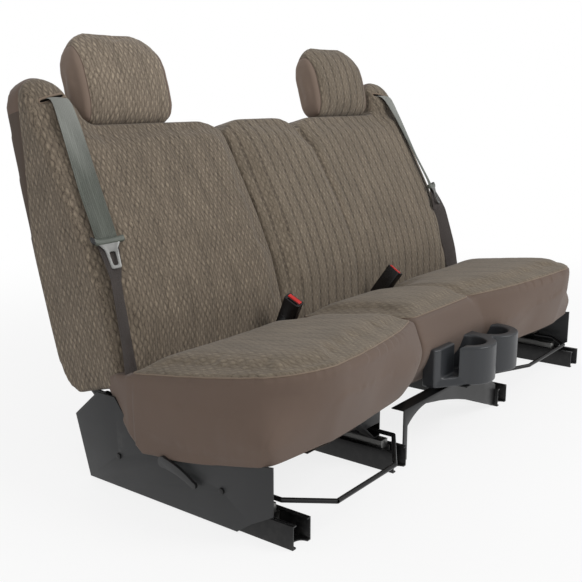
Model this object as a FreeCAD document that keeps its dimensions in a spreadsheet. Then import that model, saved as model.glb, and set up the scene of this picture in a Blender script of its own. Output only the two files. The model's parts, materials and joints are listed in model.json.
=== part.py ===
import FreeCAD, Part
import Sketcher
import os
import re
from FreeCAD import Placement, Rotation, Vector

# Split bench seat for a pickup truck with its fitted cover set, in millimetres.
# +Z is up, -Y is the front of the seat, +X is the occupant's left.
# The right seat (-X) is the narrow one; the left seat (+X) also carries the centre section.
# u is the distance outboard from the middle of the bench: X = -u on the right and +u on the left.

sizes = {
    # whole bench
    "split_u": 162.0,
    "soft_gap": 0.3,
    "cover_wall": 3.0,
    "sheet_steel": 3.0,
    # floor tracks
    "right_inner_track_u": 300.0,
    "left_inner_track_u": 245.0,
    "outer_track_half_length": 276.0,
    "inner_track_setback": 30.0,
    "track_half_width": 28.0,
    "track_height": 48.0,
    "track_wall": 3.0,
    "track_lip": 11.0,
    "rail_clearance": 0.3,
    "rail_neck_half_width": 13.0,
    "rail_neck_top": 62.0,
    "rail_half_length": 205.0,
    "floor_bolt_y": 200.0,
    "floor_bolt_radius": 5.5,
    "stud_notch_radius": 18.0,
    "tooth_radius": 2.6,
    "tooth_pitch": 14.0,
    "tooth_count": 16,
    "bridge_setback": 8.0,
    "bridge_depth": 34.0,
    "bridge_top": 130.0,
    "bridge_shoulder": 62.0,
    "bridge_slope": 95.0,
    "bridge_crown": 118.0,
    "bridge_haunch": 8.0,
    "bridge_crown_x": 170.0,
    "bridge_spring": 88.0,
    "bridge_bow_top": 76.0,
    "bridge_bow_x": 16.0,
    "bridge_leg": 18.0,
    "bridge_foot": 6.0,
    # seat pans
    "pan_overhang": 18.0,
    "pan_top": 153.0,
    "pan_front": 184.0,
    "pan_corner_width": 50.0,
    "pan_corner_depth": 62.0,
    "pan_inner_corner": 60.0,
    "pan_inner_depth": 42.0,
    "pan_rear": 195.0,
    "pan_lip": 25.0,
    "pan_inset": 25.0,
    "centre_pan_front": 140.0,
    "window_front": 95.0,
    "window_rear": 115.0,
    "gusset_foot": 95.0,
    "gusset_reach": 97.0,
    # cushions
    "cushion_side_u": 757.0,
    "cushion_rear": 145.0,
    "cushion_front": 286.0,
    "cushion_nose_inset": 197.0,
    "cushion_swell_u": 350.0,
    "cushion_swell_drop": 27.0,
    "centre_front": 196.0,
    "corner_inset": 35.0,
    "corner_back": 86.0,
    "corner_bow_inset": 102.0,
    "corner_bow": 19.0,
    "hem_corner_inset": 1.0,
    "hem_corner_back": 15.0,
    "hem_corner_bow_inset": 57.0,
    "hem_corner_bow": 1.0,
    "hem_corner_side_bow": 0.2,
    "side_curve_start": 20.0,
    "corner_side_bow": 8.0,
    "cushion_rear_top": 268.0,
    "cushion_front_top": 338.0,
    "cushion_crown": 312.0,
    "cushion_nose_top": 305.0,
    "crown_y": 50.0,
    "front_top_y": 225.0,
    "front_bow_y": 272.0,
    "front_bow_drop": 12.0,
    "skirt_base": 90.0,
    "skirt_shoulder": 290.0,
    "skirt_tuck": 50.0,
    "seam_rear": 265.0,
    "seam_rise": 62.0,
    "hem_low": 115.0,
    "hem_low_y": 99.0,
    "hem_front": 163.0,
    "hem_front_y": 240.0,
    "flap_rear": 214.0,
    "flap_top": 239.0,
    "flap_step_y": 42.0,
    "flap_step": 68.0,
    "strap_width": 30.0,
    "strap_thickness": 1.5,
    "strap_spacing": 140.0,
    # side shields
    "shield_inset": 7.0,
    "shield_standoff": 22.0,
    "shield_wall": 4.0,
    "shield_floor_gap": 4.0,
    "shield_rear_top_y": 316.0,
    "shield_rear_top": 141.0,
    "shield_rear_foot_y": 276.0,
    "shield_top": 205.0,
    "shield_top_y": 242.0,
    "shield_foot_front": 150.0,
    "shield_toe_y": 238.0,
    "shield_toe": 60.0,
    "shield_under_hem": 4.0,
    "shield_crest_front": 188.0,
    "shield_toe_reach": 35.0,
    "shield_toe_foot": 30.0,
    "boss_radius": 8.0,
    "screw_radius": 2.5,
    "screw_head_radius": 6.5,
    "screw_head_height": 3.0,
    "rear_screw_y": 180.0,
    "rear_screw_z": 75.0,
    "front_screw_y": 112.0,
    "front_screw_z": 78.0,
    # recline joint
    "pivot_y": 235.0,
    "pivot_z": 180.0,
    "back_lean": 15.8,
    "recliner_plate": 5.0,
    "recliner_front": 105.0,
    "recliner_rear": 200.0,
    "recliner_radius": 22.0,
    "stud_radius": 8.0,
    "running_gap": 0.05,
    # recline levers
    "lever_y": 35.0,
    "lever_z": 104.0,
    "lever_hub_radius": 12.0,
    "lever_length": 84.0,
    "lever_drop": 28.0,
    "lever_tip_radius": 7.0,
    "lever_thickness": 7.0,
    "lever_standoff": 8.0,
    "lever_shaft_radius": 6.0,
    "lever_collar_radius": 9.0,
    # adjuster bars
    "bar_radius": 5.0,
    "bar_z": 78.0,
    "bar_pivot_y": 150.0,
    "bar_bend_y": 228.0,
    "right_bar_front": 315.0,
    "left_bar_front": 262.0,
    "bar_corner_u": 650.0,
    "bar_inner_corner": 140.0,
    "bar_end": 1.0,
    # backs
    "back_inset": 12.0,
    "back_foot": 24.0,
    "back_foot_rise": 10.0,
    "back_foot_front": 81.5,
    "back_belly": 88.0,
    "back_belly_z": 180.0,
    "back_waist_front": 73.0,
    "back_waist_z": 335.0,
    "shoulder_front": 3.0,
    "shoulder_z": 660.0,
    "tower_top": 726.0,
    "tower_top_y": 30.0,
    "tower_rear_z": 700.0,
    "back_rear": 87.0,
    "back_rear_foot": 45.0,
    "tower_peak_inset": 55.0,
    "tower_inner_inset": 115.0,
    "tower_foot_inset": 137.0,
    "lobe_top": 614.0,
    "lobe_outer_inset": 175.0,
    "lobe_inner_u": 250.0,
    "notch_z": 576.0,
    "centre_lobe_rise": 2.0,
    "centre_lobe_flat": 70.0,
    "recess_front": 38.0,
    "recess_margin": 10.0,
    "recess_top": 562.0,
    # back frames
    "tube_depth": 28.0,
    "tube_width": 24.0,
    "frame_front": 40.0,
    "frame_foot": 110.0,
    "frame_top": 560.0,
    "arm_thickness": 5.0,
    "guide_radius": 10.0,
    "guide_head_radius": 14.0,
    "guide_head_height": 3.0,
    "guide_length": 95.0,
    # headrests
    "headrest_inset": 296.0,
    "headrest_half_width": 142.0,
    "headrest_foot": 617.0,
    "headrest_height": 212.0,
    "headrest_front": 2.0,
    "headrest_rear": 92.0,
    "headrest_panel": 23.0,
    "headrest_corner_rise": 84.0,
    "headrest_corner_reach": 80.0,
    "headrest_corner_bow": 24.0,
    "headrest_foot_rise": 72.0,
    "headrest_foot_reach": 68.0,
    "headrest_foot_bow": 20.0,
    "headrest_foot_lift": 18.0,
    "headrest_chin": 11.0,
    "headrest_brow": 26.0,
    "post_y": 54.0,
    "post_half_spacing": 65.0,
    "post_radius": 6.0,
    "post_foot": 470.0,
    "post_bridge": 700.0,
    # shoulder belts
    "webbing_width": 48.0,
    "webbing_thickness": 1.6,
    "slot_inset": 72.0,
    "slot_z": 668.0,
    "slot_height": 8.0,
    "belt_low_inset": 21.0,
    "belt_low_z": 106.0,
    "belt_end_y": 86.3,
    "belt_low_gap": 2.2,
    "belt_mid_gap": 3.4,
    "belt_free_gap": 11.0,
    "belt_turn_share": 0.785,
    "belt_turn_rise": 255.0,
    "belt_mid_rise": 53.0,
    "belt_lead": 2.5,
    "bezel_shift": 6.0,
    "bezel_half_width": 43.0,
    "bezel_half_height": 14.0,
    "bezel_depth": 20.0,
    "bezel_proud": 1.0,
    "retractor_half_width": 35.0,
    "retractor_front": 41.0,
    "retractor_depth": 34.0,
    "retractor_height": 78.0,
    "cavity_half_width": 43.0,
    "cavity_top": 692.0,
    "anchor_thickness": 3.0,
    "anchor_tab": 44.0,
    "anchor_foot": 8.0,
    "anchor_head": 4.0,
    # tongues
    "tongue_z": 345.0,
    "tongue_grip_width": 56.0,
    "tongue_grip_height": 16.0,
    "tongue_grip_front": 95.0,
    "tongue_grip_rear": 75.5,
    "tongue_slot_front": 86.0,
    "tongue_slot_rear": 78.4,
    "tongue_blade_width": 26.0,
    "tongue_blade_length": 52.0,
    "tongue_blade_thickness": 2.4,
    "tongue_window": 14.0,
    "tongue_tilt": 9.0,
    # buckles
    "right_buckle_u": 230.0,
    "left_buckle_u": 208.0,
    "buckle_y": 137.0,
    "buckle_z": 258.0,
    "buckle_lean": 30.0,
    "buckle_splay": 16.0,
    "buckle_thickness": 26.0,
    "buckle_width": 46.0,
    "buckle_length": 95.0,
    "buckle_round": 6.0,
    "button_clearance": 0.3,
    "button_half_width": 18.4,
    "button_thick": 11.1,
    "button_start": 9.4,
    "button_height": 17.0,
    "button_travel": 5.0,
    "button_proud": 2.0,
    "tongue_mouth": 4.8,
    "tongue_mouth_start": 4.5,
    "tongue_mouth_half_width": 15.0,
    "tongue_mouth_depth": 45.0,
    "stalk_y": 142.0,
    "stalk_z": 168.0,
    "stalk_thickness": 6.0,
    "stalk_eye_radius": 11.0,
    "stalk_width": 18.0,
    "anchor_stud_radius": 5.0,
    "stalk_neck": 16.0,
    "stalk_inset": 4.7,
    "lug_half_width": 14.0,
    "lug_thickness": 4.0,
    "lug_inset": 9.0,
    "notch_front": 74.0,
    "notch_inboard": 20.0,
    "notch_outboard": 28.0,
    # cup holder
    "well_first_x": 12.0,
    "well_second_x": 140.0,
    "well_y": 248.0,
    "well_radius": 46.0,
    "cup_radius": 72.0,
    "cup_top": 235.0,
    "cup_base": 140.0,
    "cup_floor": 6.0,
    "cup_rear": 198.0,
    "cup_left": 98.0,
    "cup_left_front": 232.0,
    "handle_slot_front": 266.0,
    "handle_slot_width": 28.0,
    "handle_slot_rise": 22.0,
    "cup_plate": 3.7,
    "cup_plate_flange": 34.0,
    "cup_plate_reach": 40.0,
    "cup_plate_left": 60.0,
    # length of a cutting shape that has to pass right through
    "beyond": 400.0,
}

doc = FreeCAD.newDocument("bench_seat")
sheet = doc.addObject("Spreadsheet::Sheet", "Sizes")
for row, (alias, value) in enumerate(sizes.items(), start=1):
    sheet.set("A%d" % row, alias)
    sheet.set("B%d" % row, str(value))
    sheet.setAlias("B%d" % row, alias)
doc.recompute()

parts = {}

# places that follow from the sizes above
places = {
    "shield_outer_u": "cushion_side_u - shield_inset",
    "pan_side_u": "shield_outer_u - shield_standoff",
    "outer_track_u": "pan_side_u - pan_overhang",
    "cushion_nose_u": "cushion_side_u - cushion_nose_inset",
    "corner_u": "cushion_side_u - corner_inset",
    "corner_bow_u": "cushion_side_u - corner_bow_inset",
    "hem_corner_u": "cushion_side_u - hem_corner_inset",
    "hem_corner_bow_u": "cushion_side_u - hem_corner_bow_inset",
    "gusset_end_u": "right_inner_track_u + rail_neck_half_width + gusset_reach",
    "strap_middle_u": "(gusset_end_u + outer_track_u - rail_neck_half_width) / 2",
    "strap_first_u": "strap_middle_u - strap_spacing / 2",
    "strap_second_u": "strap_middle_u + strap_spacing / 2",
    "inner_track_front": "outer_track_half_length - inner_track_setback",
    "bridge_front": "inner_track_front - bridge_setback",
    "back_side_u": "cushion_side_u - back_inset",
    "tower_peak_u": "back_side_u - tower_peak_inset",
    "tower_inner_u": "back_side_u - tower_inner_inset",
    "tower_foot_u": "back_side_u - tower_foot_inset",
    "lobe_outer_u": "back_side_u - lobe_outer_inset",
    "slot_u": "back_side_u - slot_inset",
    "belt_low_u": "back_side_u - belt_low_inset",
    "headrest_u": "back_side_u - headrest_inset",
    "lever_u": "shield_outer_u + lever_standoff",
}


def bound(expression):
    # Turns the names in a size expression into references to the sheet.
    def reference(match):
        word = match.group(0)
        if word in places:
            return "(" + bound(places[word]) + ")"
        return "Sizes." + word if word in sizes else word
    return re.sub(r"[a-z_]+", reference, str(expression))


def number(expression):
    # The present value of a size expression.
    result = sheet.evalExpression(bound(expression))
    return float(getattr(result, "Value", result))


def bind(obj, prop, expression):
    obj.setExpression(prop, bound(expression))


def keep(obj, node):
    obj.Label = node
    parts[node] = obj
    return obj


def new_body(name):
    return doc.addObject("PartDesign::Body", name)


def origin_plane(body, role):
    for feature in body.Origin.OriginFeatures:
        if feature.Role == role:
            return feature
    raise ValueError(role)


def new_sketch(body, name, role, lift="0"):
    sketch = body.newObject("Sketcher::SketchObject", name)
    sketch.AttachmentSupport = [(origin_plane(body, role), "")]
    sketch.MapMode = "FlatFace"
    bind(sketch, "AttachmentOffset.Base.z", lift)
    return sketch


def pin_point(sketch, geometry, vertex, across, upward):
    # Two bound distances hold a sketch point where its expressions say.
    for kind, expression in (("DistanceX", across), ("DistanceY", upward)):
        value = number(expression)
        index = sketch.addConstraint(Sketcher.Constraint(kind, -1, 1, geometry, vertex, value))
        sketch.setExpression("Constraints[%d]" % index, bound(expression))


def outline(sketch, points):
    # A closed outline. A point is (across, upward), and a point after the word
    # "by" is the middle of the arc that joins its two neighbours.
    corners = []
    through = {}
    for point in points:
        if point[0] == "by":
            through[len(corners) - 1] = point[1:]
        else:
            corners.append(point)
    spots = [Vector(number(a), number(b), 0) for a, b in corners]
    count = len(corners)
    for i in range(count):
        start = spots[i]
        end = spots[(i + 1) % count]
        if i in through:
            a, b = through[i]
            middle = Vector(number(a), number(b), 0)
            arc = Part.Arc(start, middle, end)
            index = sketch.addGeometry(arc, False)
            turn = (middle - start).cross(end - middle).z
            first, last = (1, 2) if turn > 0 else (2, 1)
            pin_point(sketch, index, first, *corners[i])
            pin_point(sketch, index, last, *corners[(i + 1) % count])
            helper = sketch.addGeometry(Part.Point(middle), True)
            pin_point(sketch, helper, 1, a, b)
            sketch.addConstraint(Sketcher.Constraint("PointOnObject", helper, 1, index))
        else:
            index = sketch.addGeometry(Part.LineSegment(start, end), False)
            pin_point(sketch, index, 1, *corners[i])
            pin_point(sketch, index, 2, *corners[(i + 1) % count])
    return sketch


def ring(sketch, across, upward, radius):
    centre = Vector(number(across), number(upward), 0)
    index = sketch.addGeometry(Part.Circle(centre, Vector(0, 0, 1), number(radius)), False)
    pin_point(sketch, index, 3, across, upward)
    hold = sketch.addConstraint(Sketcher.Constraint("Radius", index, number(radius)))
    sketch.setExpression("Constraints[%d]" % hold, bound(radius))
    return sketch


def pad(body, sketch, length, backwards=False, middle=False):
    feature = body.newObject("PartDesign::Pad", sketch.Name + "_pad")
    feature.Profile = sketch
    bind(feature, "Length", length)
    feature.Reversed = backwards
    feature.Midplane = middle
    body.Tip = feature
    return feature


def shallow_pocket(body, sketch, length):
    # Cuts evenly to both sides of the sketch's plane.
    feature = body.newObject("PartDesign::Pocket", sketch.Name + "_pocket")
    feature.Profile = sketch
    bind(feature, "Length", length)
    feature.Midplane = True
    body.Tip = feature
    return feature


def pocket_through(body, sketch):
    feature = body.newObject("PartDesign::Pocket", sketch.Name + "_pocket")
    feature.Profile = sketch
    feature.Type = "ThroughAll"
    feature.Midplane = True
    body.Tip = feature
    return feature


def prism(name, role, points, low, high):
    # A body padded from an outline, between two positions along the plane's normal.
    body = new_body(name)
    sketch = new_sketch(body, name + "_outline", role, low)
    outline(sketch, points)
    pad(body, sketch, "(%s) - (%s)" % (high, low))
    return body


def box(name, low, high):
    solid = doc.addObject("Part::Box", name)
    for axis, side, a, b in zip("xyz", ("Length", "Width", "Height"), low, high):
        bind(solid, side, "(%s) - (%s)" % (b, a))
        bind(solid, "Placement.Base." + axis, a)
    return solid


def rod(name, direction, radius, length, base):
    # A cylinder along X, Y or Z from its base point.
    solid = doc.addObject("Part::Cylinder", name)
    bind(solid, "Radius", radius)
    bind(solid, "Height", length)
    turns = {
        "x": Rotation(Vector(0, 1, 0), 90),
        "y": Rotation(Vector(1, 0, 0), -90),
        "z": Rotation(),
    }
    solid.Placement = Placement(Vector(), turns[direction])
    for axis, value in zip("xyz", base):
        bind(solid, "Placement.Base." + axis, value)
    return solid


def common(name, first, second):
    result = doc.addObject("Part::Common", name)
    result.Base = first
    result.Tool = second
    return result


def cut(name, base, *tools):
    tool = tools[0] if len(tools) == 1 else fuse(name + "_tools", *tools)
    result = doc.addObject("Part::Cut", name)
    result.Base = base
    result.Tool = tool
    return result


def fuse(name, *shapes):
    result = doc.addObject("Part::MultiFuse", name)
    result.Shapes = list(shapes)
    result.Refine = True
    return result


def group(name, *shapes):
    result = doc.addObject("Part::Compound", name)
    result.Links = list(shapes)
    return result


def lean(obj):
    # The back is drawn upright about the recline pivot and then leaned rearwards.
    obj.Placement = Placement(Vector(), Rotation(Vector(1, 0, 0), -1))
    bind(obj, "Placement.Base.y", "pivot_y")
    bind(obj, "Placement.Base.z", "pivot_z")
    bind(obj, "Placement.Rotation.Angle", "-back_lean")
    return obj


# where each headrest's two posts stand
post_places = (
    ("in", "headrest_u - post_half_spacing"),
    ("out", "headrest_u + post_half_spacing"),
)


class Side:
    # One end of the bench, which turns outboard distances into X.
    def __init__(self, name, sign):
        self.name = name
        self.sign = sign
        self.inner = "split_u + soft_gap" if sign < 0 else "soft_gap - split_u"
        self.track = "%s_inner_track_u" % name
        self.buckle = "%s_buckle_u" % name

    def x(self, u):
        return "(%s)" % u if self.sign > 0 else "-(%s)" % u

    def points(self, points):
        mapped = []
        for point in points:
            if point[0] == "by":
                mapped.append(("by", self.x(point[1]), point[2]))
            else:
                mapped.append((self.x(point[0]), point[1]))
        return mapped

    def span(self, low, high):
        return (low, high) if self.sign > 0 else ("-(%s)" % high, "-(%s)" % low)

    def box(self, name, u, y, z):
        low, high = self.span(*u)
        return box(self.name + "_" + name, (low, y[0], z[0]), (high, y[1], z[1]))

    def plate(self, name, points, u):
        # A flat plate drawn in the Y-Z plane between two outboard distances.
        low, high = self.span(*u)
        return prism(self.name + "_" + name, "YZ_Plane", points, low, high)

    def axle(self, name, radius, u, y, z):
        low, high = self.span(*u)
        return rod(self.name + "_" + name, "x", radius, "(%s) - (%s)" % (high, low), (low, y, z))


def front_prism(name, points, y):
    # A solid drawn in the X-Z plane; that plane's normal points to -Y.
    return prism(name, "XZ_Plane", points, "-(%s)" % y[1], "-(%s)" % y[0])


# Floor tracks.

def lower_track(name, x, front, rear):
    # A pressed channel with lips turned inwards and a stud notch in its front end.
    body = new_body(name)
    section = new_sketch(body, name + "_section", "XZ_Plane", "-(%s)" % rear)
    left = "%s - track_half_width" % x
    right = "%s + track_half_width" % x
    outline(section, [
        (left, "0"),
        (right, "0"),
        (right, "track_height"),
        (right + " - track_lip", "track_height"),
        (right + " - track_lip", "track_height - track_wall"),
        (right + " - track_wall", "track_height - track_wall"),
        (right + " - track_wall", "track_wall"),
        (left + " + track_wall", "track_wall"),
        (left + " + track_wall", "track_height - track_wall"),
        (left + " + track_lip", "track_height - track_wall"),
        (left + " + track_lip", "track_height"),
        (left, "track_height"),
    ])
    pad(body, section, "(%s) - (%s)" % (rear, front))
    holes = new_sketch(body, name + "_holes", "XY_Plane", "0")
    ring(holes, x, "floor_bolt_y", "floor_bolt_radius")
    ring(holes, x, "-floor_bolt_y", "floor_bolt_radius")
    ring(holes, x, front, "stud_notch_radius")
    shallow_pocket(body, holes, "track_wall * 2.5")
    teeth = new_sketch(body, name + "_teeth", "XY_Plane", "track_height")
    ring(teeth, left + " + track_lip / 2 + 1", "tooth_pitch * 1.5 + (%s)" % front, "tooth_radius")
    first = shallow_pocket(body, teeth, "track_wall * 2")
    doc.recompute()
    row_of_teeth = body.newObject("PartDesign::LinearPattern", name + "_tooth_row")
    row_of_teeth.Originals = [first]
    row_of_teeth.Direction = (teeth, ["V_Axis"])
    bind(row_of_teeth, "Length", "tooth_pitch * (tooth_count - 1)")
    bind(row_of_teeth, "Occurrences", "tooth_count")
    body.Tip = row_of_teeth
    return body


def upper_track(name, x):
    # The sliding rail: a foot held under the lips and a neck that stands through them.
    body = new_body(name)
    section = new_sketch(body, name + "_section", "XZ_Plane", "-rail_half_length")
    foot = "track_half_width - track_wall - rail_clearance"
    neck = "rail_neck_half_width"
    low = "track_wall + rail_clearance"
    high = "track_height - track_wall - rail_clearance"
    outline(section, [
        ("%s - (%s)" % (x, foot), low),
        ("%s + (%s)" % (x, foot), low),
        ("%s + (%s)" % (x, foot), high),
        ("%s + %s" % (x, neck), high),
        ("%s + %s" % (x, neck), "rail_neck_top"),
        ("%s - %s" % (x, neck), "rail_neck_top"),
        ("%s - %s" % (x, neck), high),
        ("%s - (%s)" % (x, foot), high),
    ])
    pad(body, section, "rail_half_length * 2")
    hollow = new_sketch(body, name + "_hollow", "XZ_Plane", "-rail_half_length")
    inner = "track_half_width - track_wall * 2 - rail_clearance"
    outline(hollow, [
        ("%s - (%s)" % (x, inner), low + " - 1"),
        ("%s + (%s)" % (x, inner), low + " - 1"),
        ("%s + (%s)" % (x, inner), high + " - track_wall"),
        ("%s - (%s)" % (x, inner), high + " - track_wall"),
    ])
    pocket_through(body, hollow)
    return body


# One seat's base.

def plan_outline(side, inset, side_inset, front_inset, corner):
    # The cushion seen from above: a straight inner side, a bulging front and an
    # outboard corner that is rounded at the top and nearly square at the hem.
    front = "%s - cushion_front" % front_inset
    points = [
        (side.inner + " + %s" % inset, "cushion_rear - %s" % inset),
        (side.inner + " + %s" % inset, "%s - centre_front" % front_inset),
    ]
    if side.sign > 0:
        points.append(("split_u", "%s - centre_front" % front_inset))
    points += [
        ("by", "cushion_swell_u", front + " + cushion_swell_drop"),
        ("cushion_nose_u", front),
        ("by", "%s_bow_u - (%s) * 0.4" % (corner, side_inset), "%s + %s_bow" % (front, corner)),
        ("%s_u - (%s) * 0.9" % (corner, side_inset), "%s + %s_back" % (front, corner)),
        ("by", "cushion_side_u - %s_side_bow - (%s)" % (corner, side_inset),
         "(side_curve_start + %s_back - cushion_front) / 2" % corner),
        ("cushion_side_u - (%s)" % side_inset, "side_curve_start"),
        ("cushion_side_u - (%s)" % side_inset, "cushion_rear - %s" % inset),
    ]
    return side.points(points)


def cushion_solid(side, name, inset, base):
    # The cushion's form: tucked in below, straight above, under a crowned top.
    body = new_body(name)
    sections = []
    for level, (height, tuck, corner) in enumerate((
            ("skirt_base", "skirt_tuck", "hem_corner"),
            ("skirt_shoulder", "0", "corner"),
            ("cushion_front_top + 30", "0", "corner"))):
        section = new_sketch(body, "%s_plan_%d" % (name, level), "XY_Plane", height)
        outline(section, plan_outline(side, inset, inset, "(%s + %s)" % (inset, tuck), corner))
        sections.append(section)
    loft = body.newObject("PartDesign::AdditiveLoft", name + "_loft")
    loft.Profile = sections[0]
    loft.Sections = sections[1:]
    loft.Ruled = True
    body.Tip = loft
    low, high = side.span(side.inner + " - 10", "cushion_side_u + 10")
    top = prism(name + "_side", "YZ_Plane", [
        ("cushion_rear + 5", base),
        ("cushion_rear + 5", "cushion_rear_top - %s" % inset),
        ("by", "-crown_y", "cushion_crown - %s" % inset),
        ("-front_top_y", "cushion_front_top - %s" % inset),
        ("by", "-front_bow_y", "cushion_front_top - front_bow_drop - %s" % inset),
        ("-cushion_front - 8", "cushion_nose_top - %s" % inset),
        ("-cushion_front - 8", base),
    ], low, high)
    return common(name + "_form", body, top)


def build_cushion(side):
    name = side.name
    outer = cushion_solid(side, name + "_cushion_outside", "0", "0")
    inner = cushion_solid(side, name + "_cushion_inside", "cover_wall", "0")
    block = cushion_solid(side, name + "_cushion_block", "(cover_wall + soft_gap)",
                          "pan_top + soft_gap")
    notch = side.box("buckle_notch",
                     (side.buckle + " - notch_inboard", side.buckle + " + notch_outboard"),
                     ("notch_front", "cushion_rear + 20"),
                     ("skirt_base - 30", "cushion_front_top"))
    wide = (side.inner + " - 20", "cushion_side_u + 20")
    low, high = side.span(*wide)
    above = prism(name + "_above_seam", "YZ_Plane", [
        ("cushion_rear + 30", "seam_rear"),
        ("cushion_rear + 30", "cushion_front_top + 40"),
        ("-cushion_front - 40", "cushion_front_top + 40"),
        ("-cushion_front - 40", "seam_rear + seam_rise"),
    ], low, high)
    hem_line = [
        ("cushion_rear + 30", "0"),
        ("cushion_rear + 30", "hem_low + 30"),
        ("hem_low_y", "hem_low"),
        ("-hem_front_y", "hem_front"),
        ("-cushion_front - 40", "hem_front"),
        ("-cushion_front - 40", "0"),
    ]
    below = prism(name + "_below_hem", "YZ_Plane", hem_line, low, high)
    over_shield = side.plate("foam_trim", hem_line,
                             ("shield_outer_u - shield_wall - 1", "cushion_side_u + 20"))
    rear_gap = side.box("rear_gap", wide, ("cushion_rear - 20", "cushion_rear + 20"),
                        ("0", "pan_top + cover_wall"))
    shell = cut(name + "_cushion_shell", outer, inner, notch)
    keep(common(name + "_cushion_top", shell, above), name + "_cushion_cover")
    sides = cut(name + "_cushion_sides", shell, above, below, rear_gap)
    flap = side.plate("skirt_flap", [
        ("hem_low_y", "hem_low"),
        ("flap_rear - flap_step_y", "flap_top - flap_step"),
        ("flap_rear", "flap_top"),
        ("cushion_rear", "seam_rear - 3"),
        ("hem_low_y", "seam_rear - 3"),
    ], ("cushion_side_u - cover_wall", "cushion_side_u"))
    keep(fuse(name + "_skirt", sides, flap), name + "_cushion_skirt")
    keep(cut(name + "_foam", block, notch, over_shield), name + "_cushion_foam")
    straps = []
    for index, place in enumerate(("strap_first_u", "strap_second_u")):
        straps.append(side.box("strap_%d" % index,
                               (place + " - strap_width / 2", place + " + strap_width / 2"),
                               ("skirt_tuck - cushion_front", "pan_rear"),
                               ("pan_top - sheet_steel - strap_thickness",
                                "pan_top - sheet_steel")))
    keep(group(name + "_straps", *straps), name + "_cover_straps")


def build_pan(side):
    name = side.name
    body = new_body(name + "_pan")
    inner = side.inner + " + pan_inset"
    under = "pan_top - sheet_steel"
    plate = new_sketch(body, name + "_pan_plate", "XZ_Plane", "-pan_rear")
    outline(plate, side.points([
        (inner if side.sign < 0 else side.track, "pan_top"),
        ("pan_side_u", "pan_top"),
        ("pan_side_u", "pan_top - pan_lip"),
        ("pan_side_u - sheet_steel", "pan_top - pan_lip"),
        ("pan_side_u - sheet_steel", under),
        (inner if side.sign < 0 else side.track, under),
    ]))
    pad(body, plate, "pan_front + pan_rear")
    legs = new_sketch(body, name + "_pan_legs", "XZ_Plane", "-pan_rear")
    outline(legs, side.points([
        ("outer_track_u - rail_neck_half_width", "rail_neck_top"),
        ("pan_side_u", "rail_neck_top"),
        ("pan_side_u", under),
        ("pan_side_u - sheet_steel", under),
        ("pan_side_u - sheet_steel", "rail_neck_top + sheet_steel"),
        ("outer_track_u - rail_neck_half_width", "rail_neck_top + sheet_steel"),
    ]))
    neck = side.track + " - rail_neck_half_width"
    shoulder = side.track + " + rail_neck_half_width"
    outline(legs, side.points([
        (neck, "rail_neck_top"),
        (shoulder, "rail_neck_top"),
        (shoulder + " + gusset_reach", under),
        (shoulder + " + gusset_reach - sheet_steel * 1.5", under),
        (shoulder + " - sheet_steel", "rail_neck_top + sheet_steel"),
        (neck + " + sheet_steel", "rail_neck_top + sheet_steel"),
        (neck + " + sheet_steel", under),
        (neck, under),
    ]))
    pad(body, legs, "pan_front + pan_rear")
    window = new_sketch(body, name + "_pan_window", "YZ_Plane", "0")
    outline(window, [
        ("-window_front", "rail_neck_top - 5"),
        ("window_rear", "rail_neck_top - 5"),
        ("window_rear", "pan_top - pan_lip"),
        ("-window_front", "pan_top - pan_lip"),
    ])
    ring(window, "-bar_pivot_y", "bar_z", "bar_radius + running_gap * 2")
    pocket_through(body, window)
    gusset = new_sketch(body, name + "_pan_gusset", "XZ_Plane", "pan_front - sheet_steel")
    outline(gusset, side.points([
        (neck, "gusset_foot"),
        (shoulder + " + gusset_reach * 0.37", "gusset_foot"),
        (shoulder + " + gusset_reach", under),
        (neck, under),
    ]))
    pad(body, gusset, "sheet_steel")
    if side.sign > 0:
        wing = new_sketch(body, name + "_pan_wing", "XZ_Plane", "-pan_rear")
        outline(wing, side.points([
            (inner, "pan_top"),
            (side.track + " + 1", "pan_top"),
            (side.track + " + 1", under),
            (inner, under),
        ]))
        pad(body, wing, "centre_pan_front + pan_rear")
    corners = new_sketch(body, name + "_pan_corners", "XY_Plane", "0")
    outline(corners, side.points([
        ("pan_side_u + 5", "-pan_front - 5"),
        ("pan_side_u + 5", "pan_corner_depth - pan_front"),
        ("pan_side_u", "pan_corner_depth - pan_front"),
        ("pan_side_u - pan_corner_width", "-pan_front"),
        ("pan_side_u - pan_corner_width", "-pan_front - 5"),
    ]))
    if side.sign < 0:
        outline(corners, side.points([
            (inner + " - 5", "-pan_front - 5"),
            (inner + " + pan_inner_corner", "-pan_front - 5"),
            (inner + " + pan_inner_corner", "-pan_front"),
            (inner, "pan_inner_depth - pan_front"),
            (inner + " - 5", "pan_inner_depth - pan_front"),
        ]))
    pocket_through(body, corners)
    lug = side.buckle + " - lug_inset"
    plate = new_sketch(body, name + "_buckle_lug", "YZ_Plane",
                       side.span(lug, lug + " + lug_thickness")[0])
    outline(plate, [
        ("stalk_y - lug_half_width", under),
        ("stalk_y + lug_half_width", under),
        ("stalk_y + lug_half_width", "stalk_z"),
        ("by", "stalk_y", "stalk_z + lug_half_width"),
        ("stalk_y - lug_half_width", "stalk_z"),
    ])
    pad(body, plate, "lug_thickness")
    stud = new_sketch(body, name + "_buckle_stud", "YZ_Plane",
                      side.span(lug, lug + " + lug_thickness + stalk_thickness + lug_thickness")[0])
    ring(stud, "stalk_y", "stalk_z", "anchor_stud_radius")
    pad(body, stud, "stalk_thickness + lug_thickness * 2")
    keep(body, name + "_seat_pan")


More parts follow.
